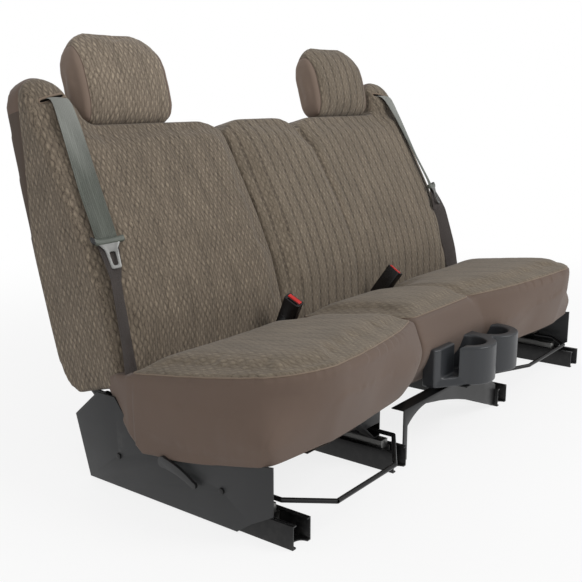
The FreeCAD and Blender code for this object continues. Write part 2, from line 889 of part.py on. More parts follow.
def build_recliner(side):
    # A pair of plates bolted outside the pan, each with the stud that the back turns on.
    name = side.name
    profile = [
        ("recliner_front", "pan_top - pan_lip"),
        ("recliner_rear", "pan_top - pan_lip"),
        ("pivot_y + recliner_radius * 0.8", "pivot_z - recliner_radius * 0.6"),
        ("pivot_y - recliner_radius * 0.6", "pivot_z + recliner_radius * 0.8"),
        ("cushion_rear + 5", "pan_top - 1"),
        ("recliner_front", "pan_top - 1"),
    ]
    pieces = []
    outer = ("pan_side_u", "pan_side_u + recliner_plate")
    inner = (side.inner + " + pan_inset - recliner_plate", side.inner + " + pan_inset")
    for tag, u in (("outer", outer), ("inner", inner)):
        web = side.plate("recliner_web_" + tag, profile, u)
        head = side.axle("recliner_head_" + tag, "recliner_radius", u, "pivot_y", "pivot_z")
        if tag == "outer":
            reach = ("pan_side_u - arm_thickness - 2", "pan_side_u + recliner_plate + 5")
        else:
            reach = (inner[0], inner[1] + " + arm_thickness + 2")
        stud = side.axle("recliner_stud_" + tag, "stud_radius", reach, "pivot_y", "pivot_z")
        pieces.append(fuse(name + "_recliner_" + tag, web, head, stud))
    keep(group(name + "_recliners", *pieces), name + "_recliner_brackets")


def build_shield(side):
    name = side.name
    hem_slope = "(hem_front - hem_low) / (hem_front_y + hem_low_y)"
    face = side.plate("shield_face", [
        ("shield_rear_foot_y", "shield_floor_gap"),
        ("shield_rear_top_y", "shield_rear_top"),
        ("shield_top_y", "shield_top"),
        ("shield_crest_front", "shield_top"),
        ("hem_low_y + 20", "hem_low + 10"),
        ("hem_low_y - 19", "hem_low - shield_under_hem"),
        ("-shield_toe_y",
         "hem_low + (shield_toe_y + hem_low_y) * %s - shield_under_hem" % hem_slope),
        ("-shield_toe_y", "shield_toe"),
        ("-shield_foot_front - shield_toe_reach", "shield_toe_foot"),
        ("-shield_foot_front", "shield_floor_gap"),
    ], ("shield_outer_u - shield_wall", "shield_outer_u"))
    pieces = [face]
    drills = []
    screws = []
    for tag, y, z in (("rear", "rear_screw_y", "rear_screw_z"),
                      ("front", "-front_screw_y", "front_screw_z")):
        pieces.append(side.axle("shield_boss_" + tag, "boss_radius",
                                ("pan_side_u", "shield_outer_u - 1"), y, z))
        drills.append(side.axle("shield_drill_" + tag, "screw_radius + running_gap",
                                ("pan_side_u - 1", "shield_outer_u + 1"), y, z))
        shank = side.axle("screw_shank_" + tag, "screw_radius",
                          ("pan_side_u", "shield_outer_u + 1"), y, z)
        head = side.axle("screw_head_" + tag, "screw_head_radius",
                         ("shield_outer_u", "shield_outer_u + screw_head_height"), y, z)
        screws.append(fuse("%s_screw_%s" % (name, tag), shank, head))
    drills.append(side.axle("shield_lever_hole", "lever_shaft_radius + running_gap * 2",
                            ("shield_outer_u - 10", "shield_outer_u + 10"), "lever_y", "lever_z"))
    whole = fuse(name + "_shield_whole", *pieces)
    keep(cut(name + "_shield", whole, *drills), name + "_side_shield")
    keep(group(name + "_screws", *screws), name + "_shield_screws")


def build_lever(side):
    name = side.name
    outer = "lever_u"
    hub = side.axle("lever_hub", "lever_hub_radius",
                    ("shield_outer_u + soft_gap", outer + " + lever_thickness"),
                    "lever_y", "lever_z")
    shaft = side.axle("lever_shaft", "lever_shaft_radius",
                      ("shield_outer_u - shield_wall - 4", "shield_outer_u + 1"), "lever_y", "lever_z")
    collar = side.axle("lever_collar", "lever_collar_radius",
                       ("shield_outer_u - shield_wall - 4", "shield_outer_u - shield_wall - soft_gap"),
                       "lever_y", "lever_z")
    arm = side.plate("lever_arm", [
        ("lever_y", "lever_z + lever_hub_radius * 0.9"),
        ("by", "lever_y - lever_length * 0.55", "lever_z - lever_drop * 0.3 + lever_tip_radius"),
        ("lever_y - lever_length", "lever_z - lever_drop + lever_tip_radius"),
        ("by", "lever_y - lever_length - lever_tip_radius", "lever_z - lever_drop"),
        ("lever_y - lever_length", "lever_z - lever_drop - lever_tip_radius"),
        ("by", "lever_y - lever_length * 0.5", "lever_z - lever_drop * 0.4 - lever_tip_radius"),
        ("lever_y", "lever_z - lever_hub_radius * 0.9"),
    ], (outer, outer + " + lever_thickness"))
    keep(fuse(name + "_lever", hub, shaft, collar, arm), name + "_recline_lever")


def build_bar(side):
    # A bent steel bar with outward ends that turn in the pan's legs.
    name = side.name
    front = "%s_bar_front" % name
    body = new_body(name + "_bar")
    path = new_sketch(body, name + "_bar_path", "XY_Plane", "bar_z")
    inner = side.track
    route = side.points([
        ("pan_side_u + bar_end", "-bar_pivot_y"),
        ("outer_track_u", "-bar_pivot_y"),
        ("outer_track_u", "-bar_bend_y + (right_bar_front - %s) * 0.5" % front),
        ("bar_corner_u", "-%s" % front),
        (inner + " + bar_inner_corner", "-%s" % front),
        (inner, "-bar_bend_y + (right_bar_front - %s) * 0.5" % front),
        (inner, "-bar_pivot_y"),
        (inner + " - rail_neck_half_width - bar_end", "-bar_pivot_y"),
    ])
    for start, end in zip(route, route[1:]):
        a = Vector(number(start[0]), number(start[1]), 0)
        b = Vector(number(end[0]), number(end[1]), 0)
        index = path.addGeometry(Part.LineSegment(a, b), False)
        pin_point(path, index, 1, *start)
        pin_point(path, index, 2, *end)
    section = new_sketch(body, name + "_bar_section", "YZ_Plane", side.x("pan_side_u + bar_end"))
    ring(section, "-bar_pivot_y", "bar_z", "bar_radius")
    pipe = body.newObject("PartDesign::AdditivePipe", name + "_bar_pipe")
    pipe.Profile = section
    pipe.Spine = path
    pipe.Transition = "Round corner"
    body.Tip = pipe
    keep(body, name + "_adjuster_bar")


# One seat's back.

def back_solid(side, name, inset, open_foot=False):
    # The back's form, drawn upright: a side profile crossed with a front outline.
    low, high = side.span(side.inner + " - 10", "back_side_u + 10")
    outside = [
        ("%s - back_foot_front" % inset, "back_foot"),
        ("by", "%s - back_belly" % inset, "back_belly_z"),
        ("%s - back_waist_front" % inset, "back_waist_z"),
        ("%s + shoulder_front" % inset, "shoulder_z"),
        ("by", "tower_top_y", "tower_top - %s" % inset),
        ("back_rear - 7 - %s" % inset, "tower_rear_z"),
        ("back_rear - %s" % inset, "tower_rear_z - 100"),
    ]
    if open_foot:
        outside += [
            ("back_rear - %s" % inset, "back_foot - 40"),
            ("%s - back_foot_front" % inset, "back_foot - 40"),
        ]
    else:
        outside += [
            ("back_rear - %s" % inset, "back_rear_foot"),
            ("back_rear - 45", "back_foot + back_foot_rise"),
        ]
    profile = prism(name + "_profile", "YZ_Plane", outside, low, high)
    edge = "back_side_u - %s" % inset
    base = "back_foot - 50"
    points = [
        (edge, base),
        (edge, "shoulder_z"),
        ("by", "(back_side_u + tower_peak_u) / 2 + 7 - %s" % inset,
         "tower_top - 18 - %s" % inset),
        ("tower_peak_u", "tower_top - %s" % inset),
        ("by", "(tower_peak_u + tower_inner_u) / 2 - 9 + %s" % inset,
         "tower_top - 14 - %s" % inset),
        ("tower_inner_u + %s" % inset, "tower_top - 46"),
        ("tower_foot_u + %s" % inset, "lobe_top + 25"),
        ("by", "tower_foot_u - 12 + %s" % inset, "lobe_top + 6 - %s * 0.5" % inset),
        ("lobe_outer_u", "lobe_top - %s" % inset),
        ("lobe_inner_u", "lobe_top - %s" % inset),
    ]
    if side.sign < 0:
        points += [
            ("by", "split_u + 35", "lobe_top - 12 - %s" % inset),
            (side.inner + " + %s" % inset, "notch_z - %s" % inset),
        ]
    else:
        points += [
            ("by", "split_u + 35", "lobe_top - 12 - %s" % inset),
            ("split_u", "notch_z - %s" % inset),
            ("by", "split_u - 35", "lobe_top - 12 - %s" % inset),
            ("centre_lobe_flat", "lobe_top + centre_lobe_rise - %s" % inset),
            ("-centre_lobe_flat", "lobe_top + centre_lobe_rise - %s" % inset),
            ("by", "35 - split_u", "lobe_top - 12 - %s" % inset),
            (side.inner + " + %s" % inset, "notch_z - %s" % inset),
        ]
    points.append((side.inner + " + %s" % inset, base))
    front = front_prism(name + "_front", side.points(points),
                        ("-back_belly - 20", "back_rear + 20"))
    return common(name + "_form", profile, front)


def slot_box(side, tag, grow, front, rear):
    middle = "slot_u + bezel_shift"
    return side.box("belt_slot_" + tag,
                    ("%s - bezel_half_width - %s" % (middle, grow),
                     "%s + bezel_half_width + %s" % (middle, grow)),
                    (front, rear),
                    ("slot_z - bezel_half_height - %s" % grow,
                     "slot_z + bezel_half_height + %s" % grow))


def build_back(side):
    name = side.name
    outer = back_solid(side, name + "_back_outside", "0")
    inner = back_solid(side, name + "_back_inside", "cover_wall", open_foot=True)
    block = back_solid(side, name + "_back_block", "(cover_wall + soft_gap)")
    wide = (side.inner + " - 20", "back_side_u + 20")
    tall = ("back_foot - 60", "tower_top + 20")
    rear = side.box("rear_slab", wide, ("back_rear - cover_wall", "back_rear + 20"), tall)
    slot = slot_box(side, "hole", "soft_gap", "-30", "recess_front")
    heads = []
    sleeves = []
    for tag, offset in post_places:
        spot = side.x(offset)
        heads.append(rod("%s_guide_head_hole_%s" % (name, tag), "z",
                         "guide_head_radius + soft_gap", "guide_length",
                         (spot, "post_y", "lobe_top - guide_head_height - soft_gap")))
        sleeves.append(rod("%s_guide_hole_%s" % (name, tag), "z", "guide_radius + soft_gap",
                           "guide_length + 80", (spot, "post_y", "lobe_top - guide_length - 60")))
    shell = cut(name + "_back_shell", outer, inner)
    keep(lean(cut(name + "_back_wrap", shell, rear, slot, *(heads + sleeves))),
         name + "_back_cover")
    panel = common(name + "_back_slab", outer, rear)
    keep(lean(cut(name + "_back_panel", panel, *heads)), name + "_back_rear_panel")
    recess = side.box("recess",
                      (side.inner + " + recess_margin", "back_side_u - recess_margin - cover_wall"),
                      ("recess_front", "back_rear + 20"), ("0", "recess_top"))
    cavity = side.box("retractor_cavity",
                      ("slot_u + bezel_shift - cavity_half_width",
                       "slot_u + bezel_shift + cavity_half_width"),
                      ("recess_front - 18", "back_rear + 20"), ("recess_top - 5", "cavity_top"))
    rear_trim = side.box("rear_trim", wide,
                         ("back_rear - cover_wall - soft_gap", "back_rear + 40"), tall)
    padding = cut(name + "_back_padding", block, recess, cavity, rear_trim, slot,
                  *(heads + sleeves))
    keep(lean(padding), name + "_back_foam")
    build_back_frame(side)
    build_belt(side)


def build_back_frame(side):
    # A welded ring of square tube with two arms that reach down to the recline studs.
    name = side.name
    y = ("frame_front", "frame_front + tube_depth")
    outer = "pan_side_u - running_gap * 4"
    inner = side.inner + " + pan_inset + running_gap * 4"
    tubes = [
        side.box("tube_out", (outer + " - tube_width", outer), y, ("frame_foot", "frame_top")),
        side.box("tube_in", (inner, inner + " + tube_width"), y, ("frame_foot", "frame_top")),
        side.box("tube_top", (inner, outer), y, ("frame_top - tube_width", "frame_top")),
        side.box("tube_low", (inner, outer), y, ("frame_foot", "frame_foot + tube_width")),
    ]
    for tag, u in (("out", (outer + " - arm_thickness", outer)),
                   ("in", (inner, inner + " + arm_thickness"))):
        tubes.append(side.plate("arm_" + tag, [
            ("-recliner_radius * 0.8", "recliner_radius * 0.6"),
            ("recliner_radius * 0.8", "-recliner_radius * 0.6"),
            ("frame_front + tube_depth", "frame_foot * 0.5"),
            ("frame_front + tube_depth", "frame_foot + tube_width"),
            ("frame_front", "frame_foot + tube_width"),
            ("frame_front", "back_foot + 8"),
        ], u))
        tubes.append(side.axle("arm_boss_" + tag, "recliner_radius", u, "0", "0"))
    welded = fuse(name + "_frame_whole", *tubes)
    drills = [
        side.axle("arm_hole", "stud_radius + running_gap", (side.inner, "back_side_u"), "0", "0"),
    ]
    for tag, offset in post_places:
        drills.append(rod("%s_rail_hole_%s" % (name, tag), "z", "guide_radius + running_gap",
                          "tube_width + 20",
                          (side.x(offset), "post_y", "frame_top - tube_width - 10")))
    keep(lean(cut(name + "_frame", welded, *drills)), name + "_back_frame")
    guides = []
    for tag, offset in post_places:
        spot = side.x(offset)
        sleeve = rod("%s_sleeve_%s" % (name, tag), "z", "guide_radius", "guide_length",
                     (spot, "post_y", "lobe_top - guide_length"))
        head = rod("%s_sleeve_head_%s" % (name, tag), "z", "guide_head_radius", "guide_head_height",
                   (spot, "post_y", "lobe_top - guide_head_height"))
        bore = rod("%s_sleeve_bore_%s" % (name, tag), "z", "post_radius + running_gap",
                   "guide_length + 20", (spot, "post_y", "lobe_top - guide_length - 10"))
        whole = fuse("%s_sleeve_whole_%s" % (name, tag), sleeve, head)
        guides.append(cut("%s_guide_%s" % (name, tag), whole, bore))
    keep(lean(group(name + "_guides", *guides)), name + "_headrest_guides")


def build_headrest(side):
    name = side.name
    forms = {}
    for tag, inset in (("outside", "0"), ("inside", "cover_wall"), ("block", "(cover_wall + soft_gap)")):
        left = "headrest_u - headrest_half_width"
        right = "headrest_u + headrest_half_width"
        foot = "headrest_foot + %s" % inset
        top = "headrest_foot + headrest_height - %s" % inset
        low, high = side.span(left + " - 10", right + " + 10")
        profile = prism("%s_headrest_%s_profile" % (name, tag), "YZ_Plane", [
            ("headrest_front + headrest_chin + %s" % inset, foot + " + 6"),
            ("by", "headrest_front - 4 + %s" % inset, "headrest_foot + headrest_height * 0.42"),
            ("headrest_front + 5 + %s" % inset, "headrest_foot + headrest_height * 0.77"),
            ("by", "headrest_front + headrest_brow", top),
            ("headrest_rear - headrest_brow - %s" % inset, top + " - headrest_corner_bow"),
            ("by", "headrest_rear - %s" % inset, "headrest_foot + headrest_height * 0.5"),
            ("headrest_rear - 5 - %s" % inset, foot + " + 16"),
            ("by", "(headrest_front + headrest_rear) / 2", foot),
        ], low, high)
        front = front_prism("%s_headrest_%s_front" % (name, tag), side.points([
            (left + " + %s" % inset, foot + " + headrest_foot_rise"),
            (left + " + %s" % inset, top + " - headrest_corner_rise"),
            ("by", left + " + headrest_corner_bow + %s" % inset, top + " - headrest_corner_bow"),
            (left + " + headrest_corner_reach", top),
            (right + " - headrest_corner_reach", top),
            ("by", right + " - headrest_corner_bow - %s" % inset, top + " - headrest_corner_bow"),
            (right + " - %s" % inset, top + " - headrest_corner_rise"),
            (right + " - %s" % inset, foot + " + headrest_foot_rise"),
            ("by", right + " - headrest_foot_bow - %s" % inset, foot + " + headrest_foot_lift"),
            (right + " - headrest_foot_reach", foot),
            (left + " + headrest_foot_reach", foot),
            ("by", left + " + headrest_foot_bow + %s" % inset, foot + " + headrest_foot_lift"),
        ]), ("-40", "headrest_rear + 40"))
        forms[tag] = common("%s_headrest_%s" % (name, tag), profile, front)
    middle = side.box("headrest_middle",
                      ("headrest_u - headrest_half_width + headrest_panel",
                       "headrest_u + headrest_half_width - headrest_panel"),
                      ("-60", "headrest_rear + 60"),
                      ("headrest_foot - 20", "tower_top + headrest_height"))
    posts = []
    tunnels = []
    for tag, offset in post_places:
        spot = side.x(offset)
        posts.append(rod("%s_post_%s" % (name, tag), "z", "post_radius", "post_bridge - post_foot",
                         (spot, "post_y", "post_foot")))
        tunnels.append(rod("%s_post_tunnel_%s" % (name, tag), "z", "post_radius + soft_gap",
                           "post_bridge - post_foot + 40", (spot, "post_y", "post_foot - 20")))
    inner_end = "headrest_u - post_half_spacing - post_radius"
    outer_end = "headrest_u + post_half_spacing + post_radius"
    posts.append(side.axle("post_bridge", "post_radius", (inner_end, outer_end),
                           "post_y", "post_bridge"))
    tunnels.append(side.axle("bridge_tunnel", "post_radius + soft_gap",
                             (inner_end + " - soft_gap", outer_end + " + soft_gap"),
                             "post_y", "post_bridge"))
    hollow = fuse(name + "_post_tunnels", *tunnels)
    shell = cut(name + "_headrest_shell", forms["outside"], forms["inside"], hollow)
    keep(lean(common(name + "_headrest_wrap", shell, middle)), name + "_headrest_cover")
    keep(lean(cut(name + "_headrest_ends", shell, middle)), name + "_headrest_side_panels")
    keep(lean(cut(name + "_headrest_padding", forms["block"], hollow)), name + "_headrest_foam")
    keep(lean(fuse(name + "_posts", *posts)), name + "_headrest_posts")


# Shoulder belts.

def build_belt(side):
    name = side.name
    half = "webbing_thickness / 2"
    # The webbing's centre line seen from the side, from its anchor to the slot.
    line = [
        ("-belt_end_y", "-6"),
        ("-back_belly - belt_low_gap", "belt_low_z"),
        ("-back_belly - belt_mid_gap", "back_belly_z + belt_mid_rise"),
        ("-back_waist_front - belt_free_gap", "back_waist_z"),
        ("(shoulder_front + back_waist_front) * belt_turn_share - back_waist_front - belt_free_gap",
         "back_waist_z + belt_turn_rise"),
        ("shoulder_front - belt_lead", "slot_z"),
    ]
    front_edge = [("%s - %s" % (y, half), z) for y, z in line]
    rear_edge = [("%s + %s" % (y, half), z) for y, z in line]
    front_edge[-1] = (line[-1][0] + " - %s" % half, line[-1][1] + " + %s" % half)
    rear_edge[-1] = (line[-1][0] + " + %s" % half, line[-1][1] + " - %s" % half)
    # Behind the slot the webbing turns down onto the reel.
    turn = ("retractor_front + 5", "slot_z - 5")
    reel = ("retractor_front + retractor_depth / 2", "frame_top + retractor_height + soft_gap")
    front_edge += [(turn[0] + " + %s" % half, turn[1] + " + %s" % half),
                   (reel[0] + " + %s" % half, reel[1])]
    rear_edge += [(turn[0] + " - %s" % half, turn[1] + " - %s" % half),
                  (reel[0] + " - %s" % half, reel[1])]
    low, high = side.span("slot_u - 60", "back_side_u + 20")
    strip = prism(name + "_webbing_side", "YZ_Plane", front_edge + rear_edge[::-1], low, high)
    across = "webbing_width / 2"
    face = front_prism(name + "_webbing_face", side.points([
        ("belt_low_u - %s" % across, "-20"),
        ("belt_low_u + %s" % across, "-20"),
        ("belt_low_u + %s" % across, "belt_low_z"),
        ("slot_u + %s" % across, "slot_z"),
        ("slot_u + %s" % across, "slot_z + 20"),
        ("slot_u - %s" % across, "slot_z + 20"),
        ("slot_u - %s" % across, "slot_z"),
        ("belt_low_u - %s" % across, "belt_low_z"),
    ]), ("-back_belly - 40", "back_rear"))
    keep(lean(common(name + "_webbing", strip, face)), name + "_belt_webbing")
    bezel = slot_box(side, "bezel", "0", "shoulder_front - bezel_proud", "shoulder_front + bezel_depth")
    mouth = side.box("belt_mouth",
                     ("slot_u - webbing_width / 2 - 4", "slot_u + webbing_width / 2 + 12"),
                     ("-30", "recess_front"),
                     ("slot_z - slot_height / 2 - 3", "slot_z + slot_height / 2"))
    keep(lean(cut(name + "_bezel", bezel, mouth)), name + "_belt_bezel")
    case = side.box("reel_case",
                    ("slot_u - retractor_half_width + 4", "slot_u + retractor_half_width + 4"),
                    ("retractor_front", "retractor_front + retractor_depth"),
                    ("frame_top", "frame_top + retractor_height"))
    spool = side.axle("reel_spool", "retractor_depth * 0.42",
                      ("slot_u - retractor_half_width", "slot_u + retractor_half_width + 8"),
                      "retractor_front + retractor_depth / 2", "frame_top + retractor_height * 0.6")
    keep(lean(fuse(name + "_reel", case, spool)), name + "_belt_retractor")
    gap = "pan_side_u + recliner_plate + soft_gap"
    arm = side.plate("anchor_arm", [
        ("0", "-14"),
        ("by", "14", "0"),
        ("0", "14"),
        ("-belt_end_y + webbing_thickness", "anchor_head"),
        ("-belt_end_y + webbing_thickness", "-anchor_foot"),
    ], (gap, gap + " + anchor_thickness"))
    tab = side.box("anchor_tab", ("belt_low_u - anchor_tab / 2", "belt_low_u + anchor_tab / 2"),
                   ("%s - belt_end_y" % half, "%s - belt_end_y + anchor_thickness" % half),
                   ("-anchor_foot", "anchor_head"))
    eye = side.axle("anchor_eye", "stud_radius + running_gap", (gap + " - 5", gap + " + 10"), "0", "0")
    keep(lean(cut(name + "_anchor", fuse(name + "_anchor_whole", arm, tab), eye)), name + "_belt_anchor")
    build_tongue(side)


def build_tongue(side):
    # The tongue hangs on the webbing, which runs through the slot in its grip.
    name = side.name
    centre = "slot_u + (belt_low_u - slot_u) * (slot_z - tongue_z) / (slot_z - belt_low_z)"
    grip = side.box("tongue_grip",
                    (centre + " - tongue_grip_width / 2", centre + " + tongue_grip_width / 2"),
                    ("-tongue_grip_front", "-tongue_grip_rear"),
                    ("tongue_z - tongue_grip_height / 2", "tongue_z + tongue_grip_height / 2"))
    slot = side.box("tongue_slot",
                    (centre + " - webbing_width / 2 - 1.5", centre + " + webbing_width / 2 + 1.5"),
                    ("-tongue_slot_front", "-tongue_slot_rear"), ("tongue_z - 30", "tongue_z + 30"))
    foot = "tongue_z - tongue_grip_height / 2 - tongue_blade_length"
    blade = front_prism(name + "_tongue_blade", side.points([
        (centre + " - tongue_blade_width / 2 + 3", foot),
        (centre + " + tongue_blade_width / 2 - 3", foot),
        (centre + " + tongue_blade_width / 2", foot + " + 4"),
        (centre + " + tongue_blade_width / 2", foot + " + tongue_blade_length * 0.7"),
        (centre + " + tongue_grip_width / 2 - 4", "tongue_z"),
        (centre + " - tongue_grip_width / 2 + 4", "tongue_z"),
        (centre + " - tongue_blade_width / 2", foot + " + tongue_blade_length * 0.7"),
        (centre + " - tongue_blade_width / 2", foot + " + 4"),
    ]), ("-tongue_grip_front + 1", "-tongue_grip_front + 1 + tongue_blade_thickness"))
    window = side.box("tongue_window",
                      (centre + " - tongue_window / 2", centre + " + tongue_window / 2"),
                      ("-tongue_grip_front - 10", "-tongue_slot_front"),
                      (foot + " + 9", foot + " + 9 + tongue_window * 1.4"))
    upright = cut(name + "_tongue_whole", fuse(name + "_tongue_joined", grip, blade), slot, window)
    # The tongue hangs tilted about the webbing in its slot.
    pivot = Vector(0, number("-(tongue_slot_front + tongue_slot_rear) / 2"), number("tongue_z"))
    upright.Placement = Placement(Vector(), Rotation(Vector(1, 0, 0), number("-tongue_tilt")), pivot)
    keep(lean(group(name + "_tongue_tilted", upright)), name + "_belt_tongue")


# Buckles.

def tilt(obj, side):
    # A buckle is drawn upright at its base, leaned forwards and splayed outboard.
    turn = Rotation(Vector(0, 1, 0), side.sign * number("buckle_splay"))
    turn = turn.multiply(Rotation(Vector(1, 0, 0), number("buckle_lean")))
    obj.Placement = Placement(Vector(), turn)
    bind(obj, "Placement.Base.x", side.x(side.buckle))
    bind(obj, "Placement.Base.y", "buckle_y")
    bind(obj, "Placement.Base.z", "buckle_z")
    return obj


def build_buckle(side):
    name = side.name
    thick = "buckle_thickness / 2"
    wide = "buckle_width / 2"
    casing = new_body(name + "_buckle_casing")
    section = new_sketch(casing, name + "_buckle_section", "XY_Plane", "0")
    outline(section, [
        ("-" + thick, "-" + wide),
        (thick, "-" + wide),
        (thick, wide),
        ("-" + thick, wide),
    ])
    tall = pad(casing, section, "buckle_length")
    doc.recompute()
    long_edges = []
    for number_of_edge, edge in enumerate(tall.Shape.Edges, start=1):
        ends = [vertex.Point for vertex in edge.Vertexes]
        if abs(ends[0].x - ends[1].x) < 0.01 and abs(ends[0].y - ends[1].y) < 0.01:
            long_edges.append("Edge%d" % number_of_edge)
    rounding = casing.newObject("PartDesign::Fillet", name + "_buckle_rounding")
    rounding.Base = (tall, long_edges)
    bind(rounding, "Radius", "buckle_round")
    casing.Tip = rounding
    # The tongue's mouth lies outboard of the button on both buckles.
    low, high = side.span("-button_start - button_clearance",
                          "button_thick - button_start + button_clearance")
    pit = box(name + "_button_pit",
              (low, "-button_half_width - button_clearance",
               "buckle_length - button_height - button_travel + button_proud"),
              (high, "button_half_width + button_clearance", "buckle_length + 10"))
    low, high = side.span("tongue_mouth_start", "tongue_mouth_start + tongue_mouth")
    mouth = box(name + "_tongue_mouth",
                (low, "-tongue_mouth_half_width", "buckle_length - tongue_mouth_depth"),
                (high, "tongue_mouth_half_width", "buckle_length + 10"))
    keep(tilt(cut(name + "_buckle_hollow", casing, pit, mouth), side), name + "_buckle_housing")
    low, high = side.span("-button_start", "button_thick - button_start")
    button = box(name + "_button",
                 (low, "-button_half_width", "buckle_length - button_height + button_proud"),
                 (high, "button_half_width", "buckle_length + button_proud"))
    keep(tilt(group(name + "_button_cap", button), side), name + "_buckle_button")
    shank = box(name + "_stalk_head",
                ("-stalk_thickness / 2", "-stalk_width / 2", "-stalk_neck"),
                ("stalk_thickness / 2", "stalk_width / 2", "0"))
    shank = tilt(group(name + "_stalk_neck", shank), side)
    strap_u = (side.buckle + " - stalk_inset", side.buckle + " - stalk_inset + stalk_thickness")
    strap = side.plate("stalk_strap", [
        ("stalk_y - stalk_eye_radius", "stalk_z"),
        ("by", "stalk_y", "stalk_z - stalk_eye_radius"),
        ("stalk_y + stalk_eye_radius", "stalk_z"),
        ("buckle_y + 13", "buckle_z - 8"),
        ("buckle_y - 5", "buckle_z - 10"),
    ], strap_u)
    eye = side.axle("stalk_eye", "anchor_stud_radius + running_gap",
                    (side.buckle + " - 20", side.buckle + " + 20"), "stalk_y", "stalk_z")
    keep(cut(name + "_stalk", fuse(name + "_stalk_whole", strap, shank), eye), name + "_buckle_stalk")


# Centre pieces.

def build_centre():
    solids = []
    for tag, x in (("first", "well_first_x"), ("second", "well_second_x")):
        solids.append(rod("cup_" + tag, "z", "cup_radius", "cup_top - cup_base",
                          (x, "-well_y", "cup_base")))
    solids.append(box("cup_back", ("well_first_x", "-well_y", "cup_base"),
                      ("well_second_x", "-cup_rear - 1", "cup_top")))
    solids.append(prism("cup_side", "XY_Plane", [
        ("-cup_left", "-cup_rear - 1"),
        ("-cup_left", "-cup_left_front"),
        ("well_first_x - cup_radius * 0.6", "-well_y - cup_radius * 0.8"),
        ("well_first_x", "-well_y - cup_radius * 0.8"),
        ("well_first_x", "-cup_rear - 1"),
    ], "cup_base", "cup_top"))
    whole = fuse("cup_whole", *solids)
    cuts = [box("cup_rear_trim", ("-beyond", "-cup_rear", "0"), ("beyond", "0", "beyond"))]
    for tag, x in (("first", "well_first_x"), ("second", "well_second_x")):
        cuts.append(rod("well_" + tag, "z", "well_radius", "beyond",
                        (x, "-well_y", "cup_base + cup_floor")))
    cuts.append(box("handle_slot",
                    ("-beyond", "-handle_slot_front", "cup_base + handle_slot_rise"),
                    ("well_first_x", "handle_slot_width - handle_slot_front", "beyond")))
    keep(cut("cup_holder_form", whole, *cuts), "cup_holder")
    low = "cup_base - cup_plate"
    keep(prism("cup_bracket", "YZ_Plane", [
        ("-well_y - cup_plate_reach", low),
        ("cup_plate - centre_pan_front", low),
        ("cup_plate - centre_pan_front", "pan_top - sheet_steel - cup_plate"),
        ("cup_plate_flange - centre_pan_front", "pan_top - sheet_steel - cup_plate"),
        ("cup_plate_flange - centre_pan_front", "pan_top - sheet_steel"),
        ("-centre_pan_front", "pan_top - sheet_steel"),
        ("-centre_pan_front", "cup_base"),
        ("-well_y - cup_plate_reach", "cup_base"),
    ], "-cup_plate_left", "well_second_x + cup_plate_reach"), "cup_holder_bracket")
    left = "track_half_width - right_inner_track_u"
    right = "left_inner_track_u - track_half_width"
    front = "-bridge_front"
    web = front_prism("bridge_web", [
        (left, "bridge_foot"),
        (left + " + bridge_leg", "bridge_foot"),
        (left + " + bridge_leg", "bridge_spring"),
        ("by", "(%s + bridge_leg - bridge_crown_x) / 2" % left, "bridge_crown - bridge_haunch"),
        ("-bridge_crown_x", "bridge_crown"),
        ("by", "bridge_bow_x", "bridge_bow_top"),
        (right + " - bridge_leg", "bridge_foot"),
        (right, "bridge_foot"),
        (right, "bridge_shoulder"),
        (right + " - bridge_slope", "bridge_top"),
        (left, "bridge_top"),
    ], (front, front + " + sheet_steel"))
    ledge = box("bridge_ledge", (left, front, "bridge_top - sheet_steel"),
                (right + " - bridge_slope", front + " + bridge_depth", "bridge_top"))
    feet = [box("bridge_left_foot", (right + " - sheet_steel", front, "bridge_foot"),
                (right, front + " + bridge_depth", "track_height")),
            box("bridge_right_foot", (left, front, "bridge_foot"),
                (left + " + sheet_steel", front + " + bridge_depth", "track_height"))]
    keep(fuse("bridge", web, ledge, *feet), "track_bridge")


right = Side("right", -1)
left = Side("left", 1)

outer_ends = ("-outer_track_half_length", "outer_track_half_length")
inner_ends = ("-inner_track_front", "outer_track_half_length")
channels = []
for side in (right, left):
    for tag, u, ends in (("outer", "outer_track_u", outer_ends), ("inner", side.track, inner_ends)):
        channels.append(lower_track("%s_%s_channel" % (side.name, tag), side.x(u), *ends))
keep(group("channels", *channels), "lower_tracks")

for side in (right, left):
    rails = [upper_track("%s_%s_rail" % (side.name, tag), side.x(u))
             for tag, u in (("outer", "outer_track_u"), ("inner", side.track))]
    keep(group(side.name + "_rails", *rails), side.name + "_upper_tracks")
    build_pan(side)
    build_cushion(side)
    build_recliner(side)
    build_shield(side)
    build_lever(side)
    build_bar(side)
    build_back(side)
    build_headrest(side)
    build_buckle(side)
build_centre()

doc.recompute()

for obj in doc.Objects:
    if "Invalid" in obj.State or "Error" in obj.State:
        raise RuntimeError("%s (%s) failed: %s" % (obj.Label, obj.Name, obj.State))
for node, obj in parts.items():
    if obj.Shape.isNull() or not obj.Shape.isValid():
        raise RuntimeError("%s has no valid shape" % node)

os.makedirs("parts", exist_ok=True)
for node, obj in parts.items():
    obj.Shape.exportStep("parts/%s.step" % node)
    corners = obj.Shape.BoundBox
    print("%-28s solids %2d  x %7.1f %7.1f  y %7.1f %7.1f  z %7.1f %7.1f" % (
        node, len(obj.Shape.Solids), corners.XMin, corners.XMax, corners.YMin, corners.YMax,
        corners.ZMin, corners.ZMax))
print(len(parts), "nodes")
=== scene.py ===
import bpy
import bmesh
import json
import math
import numpy as np
from mathutils import Matrix, Vector

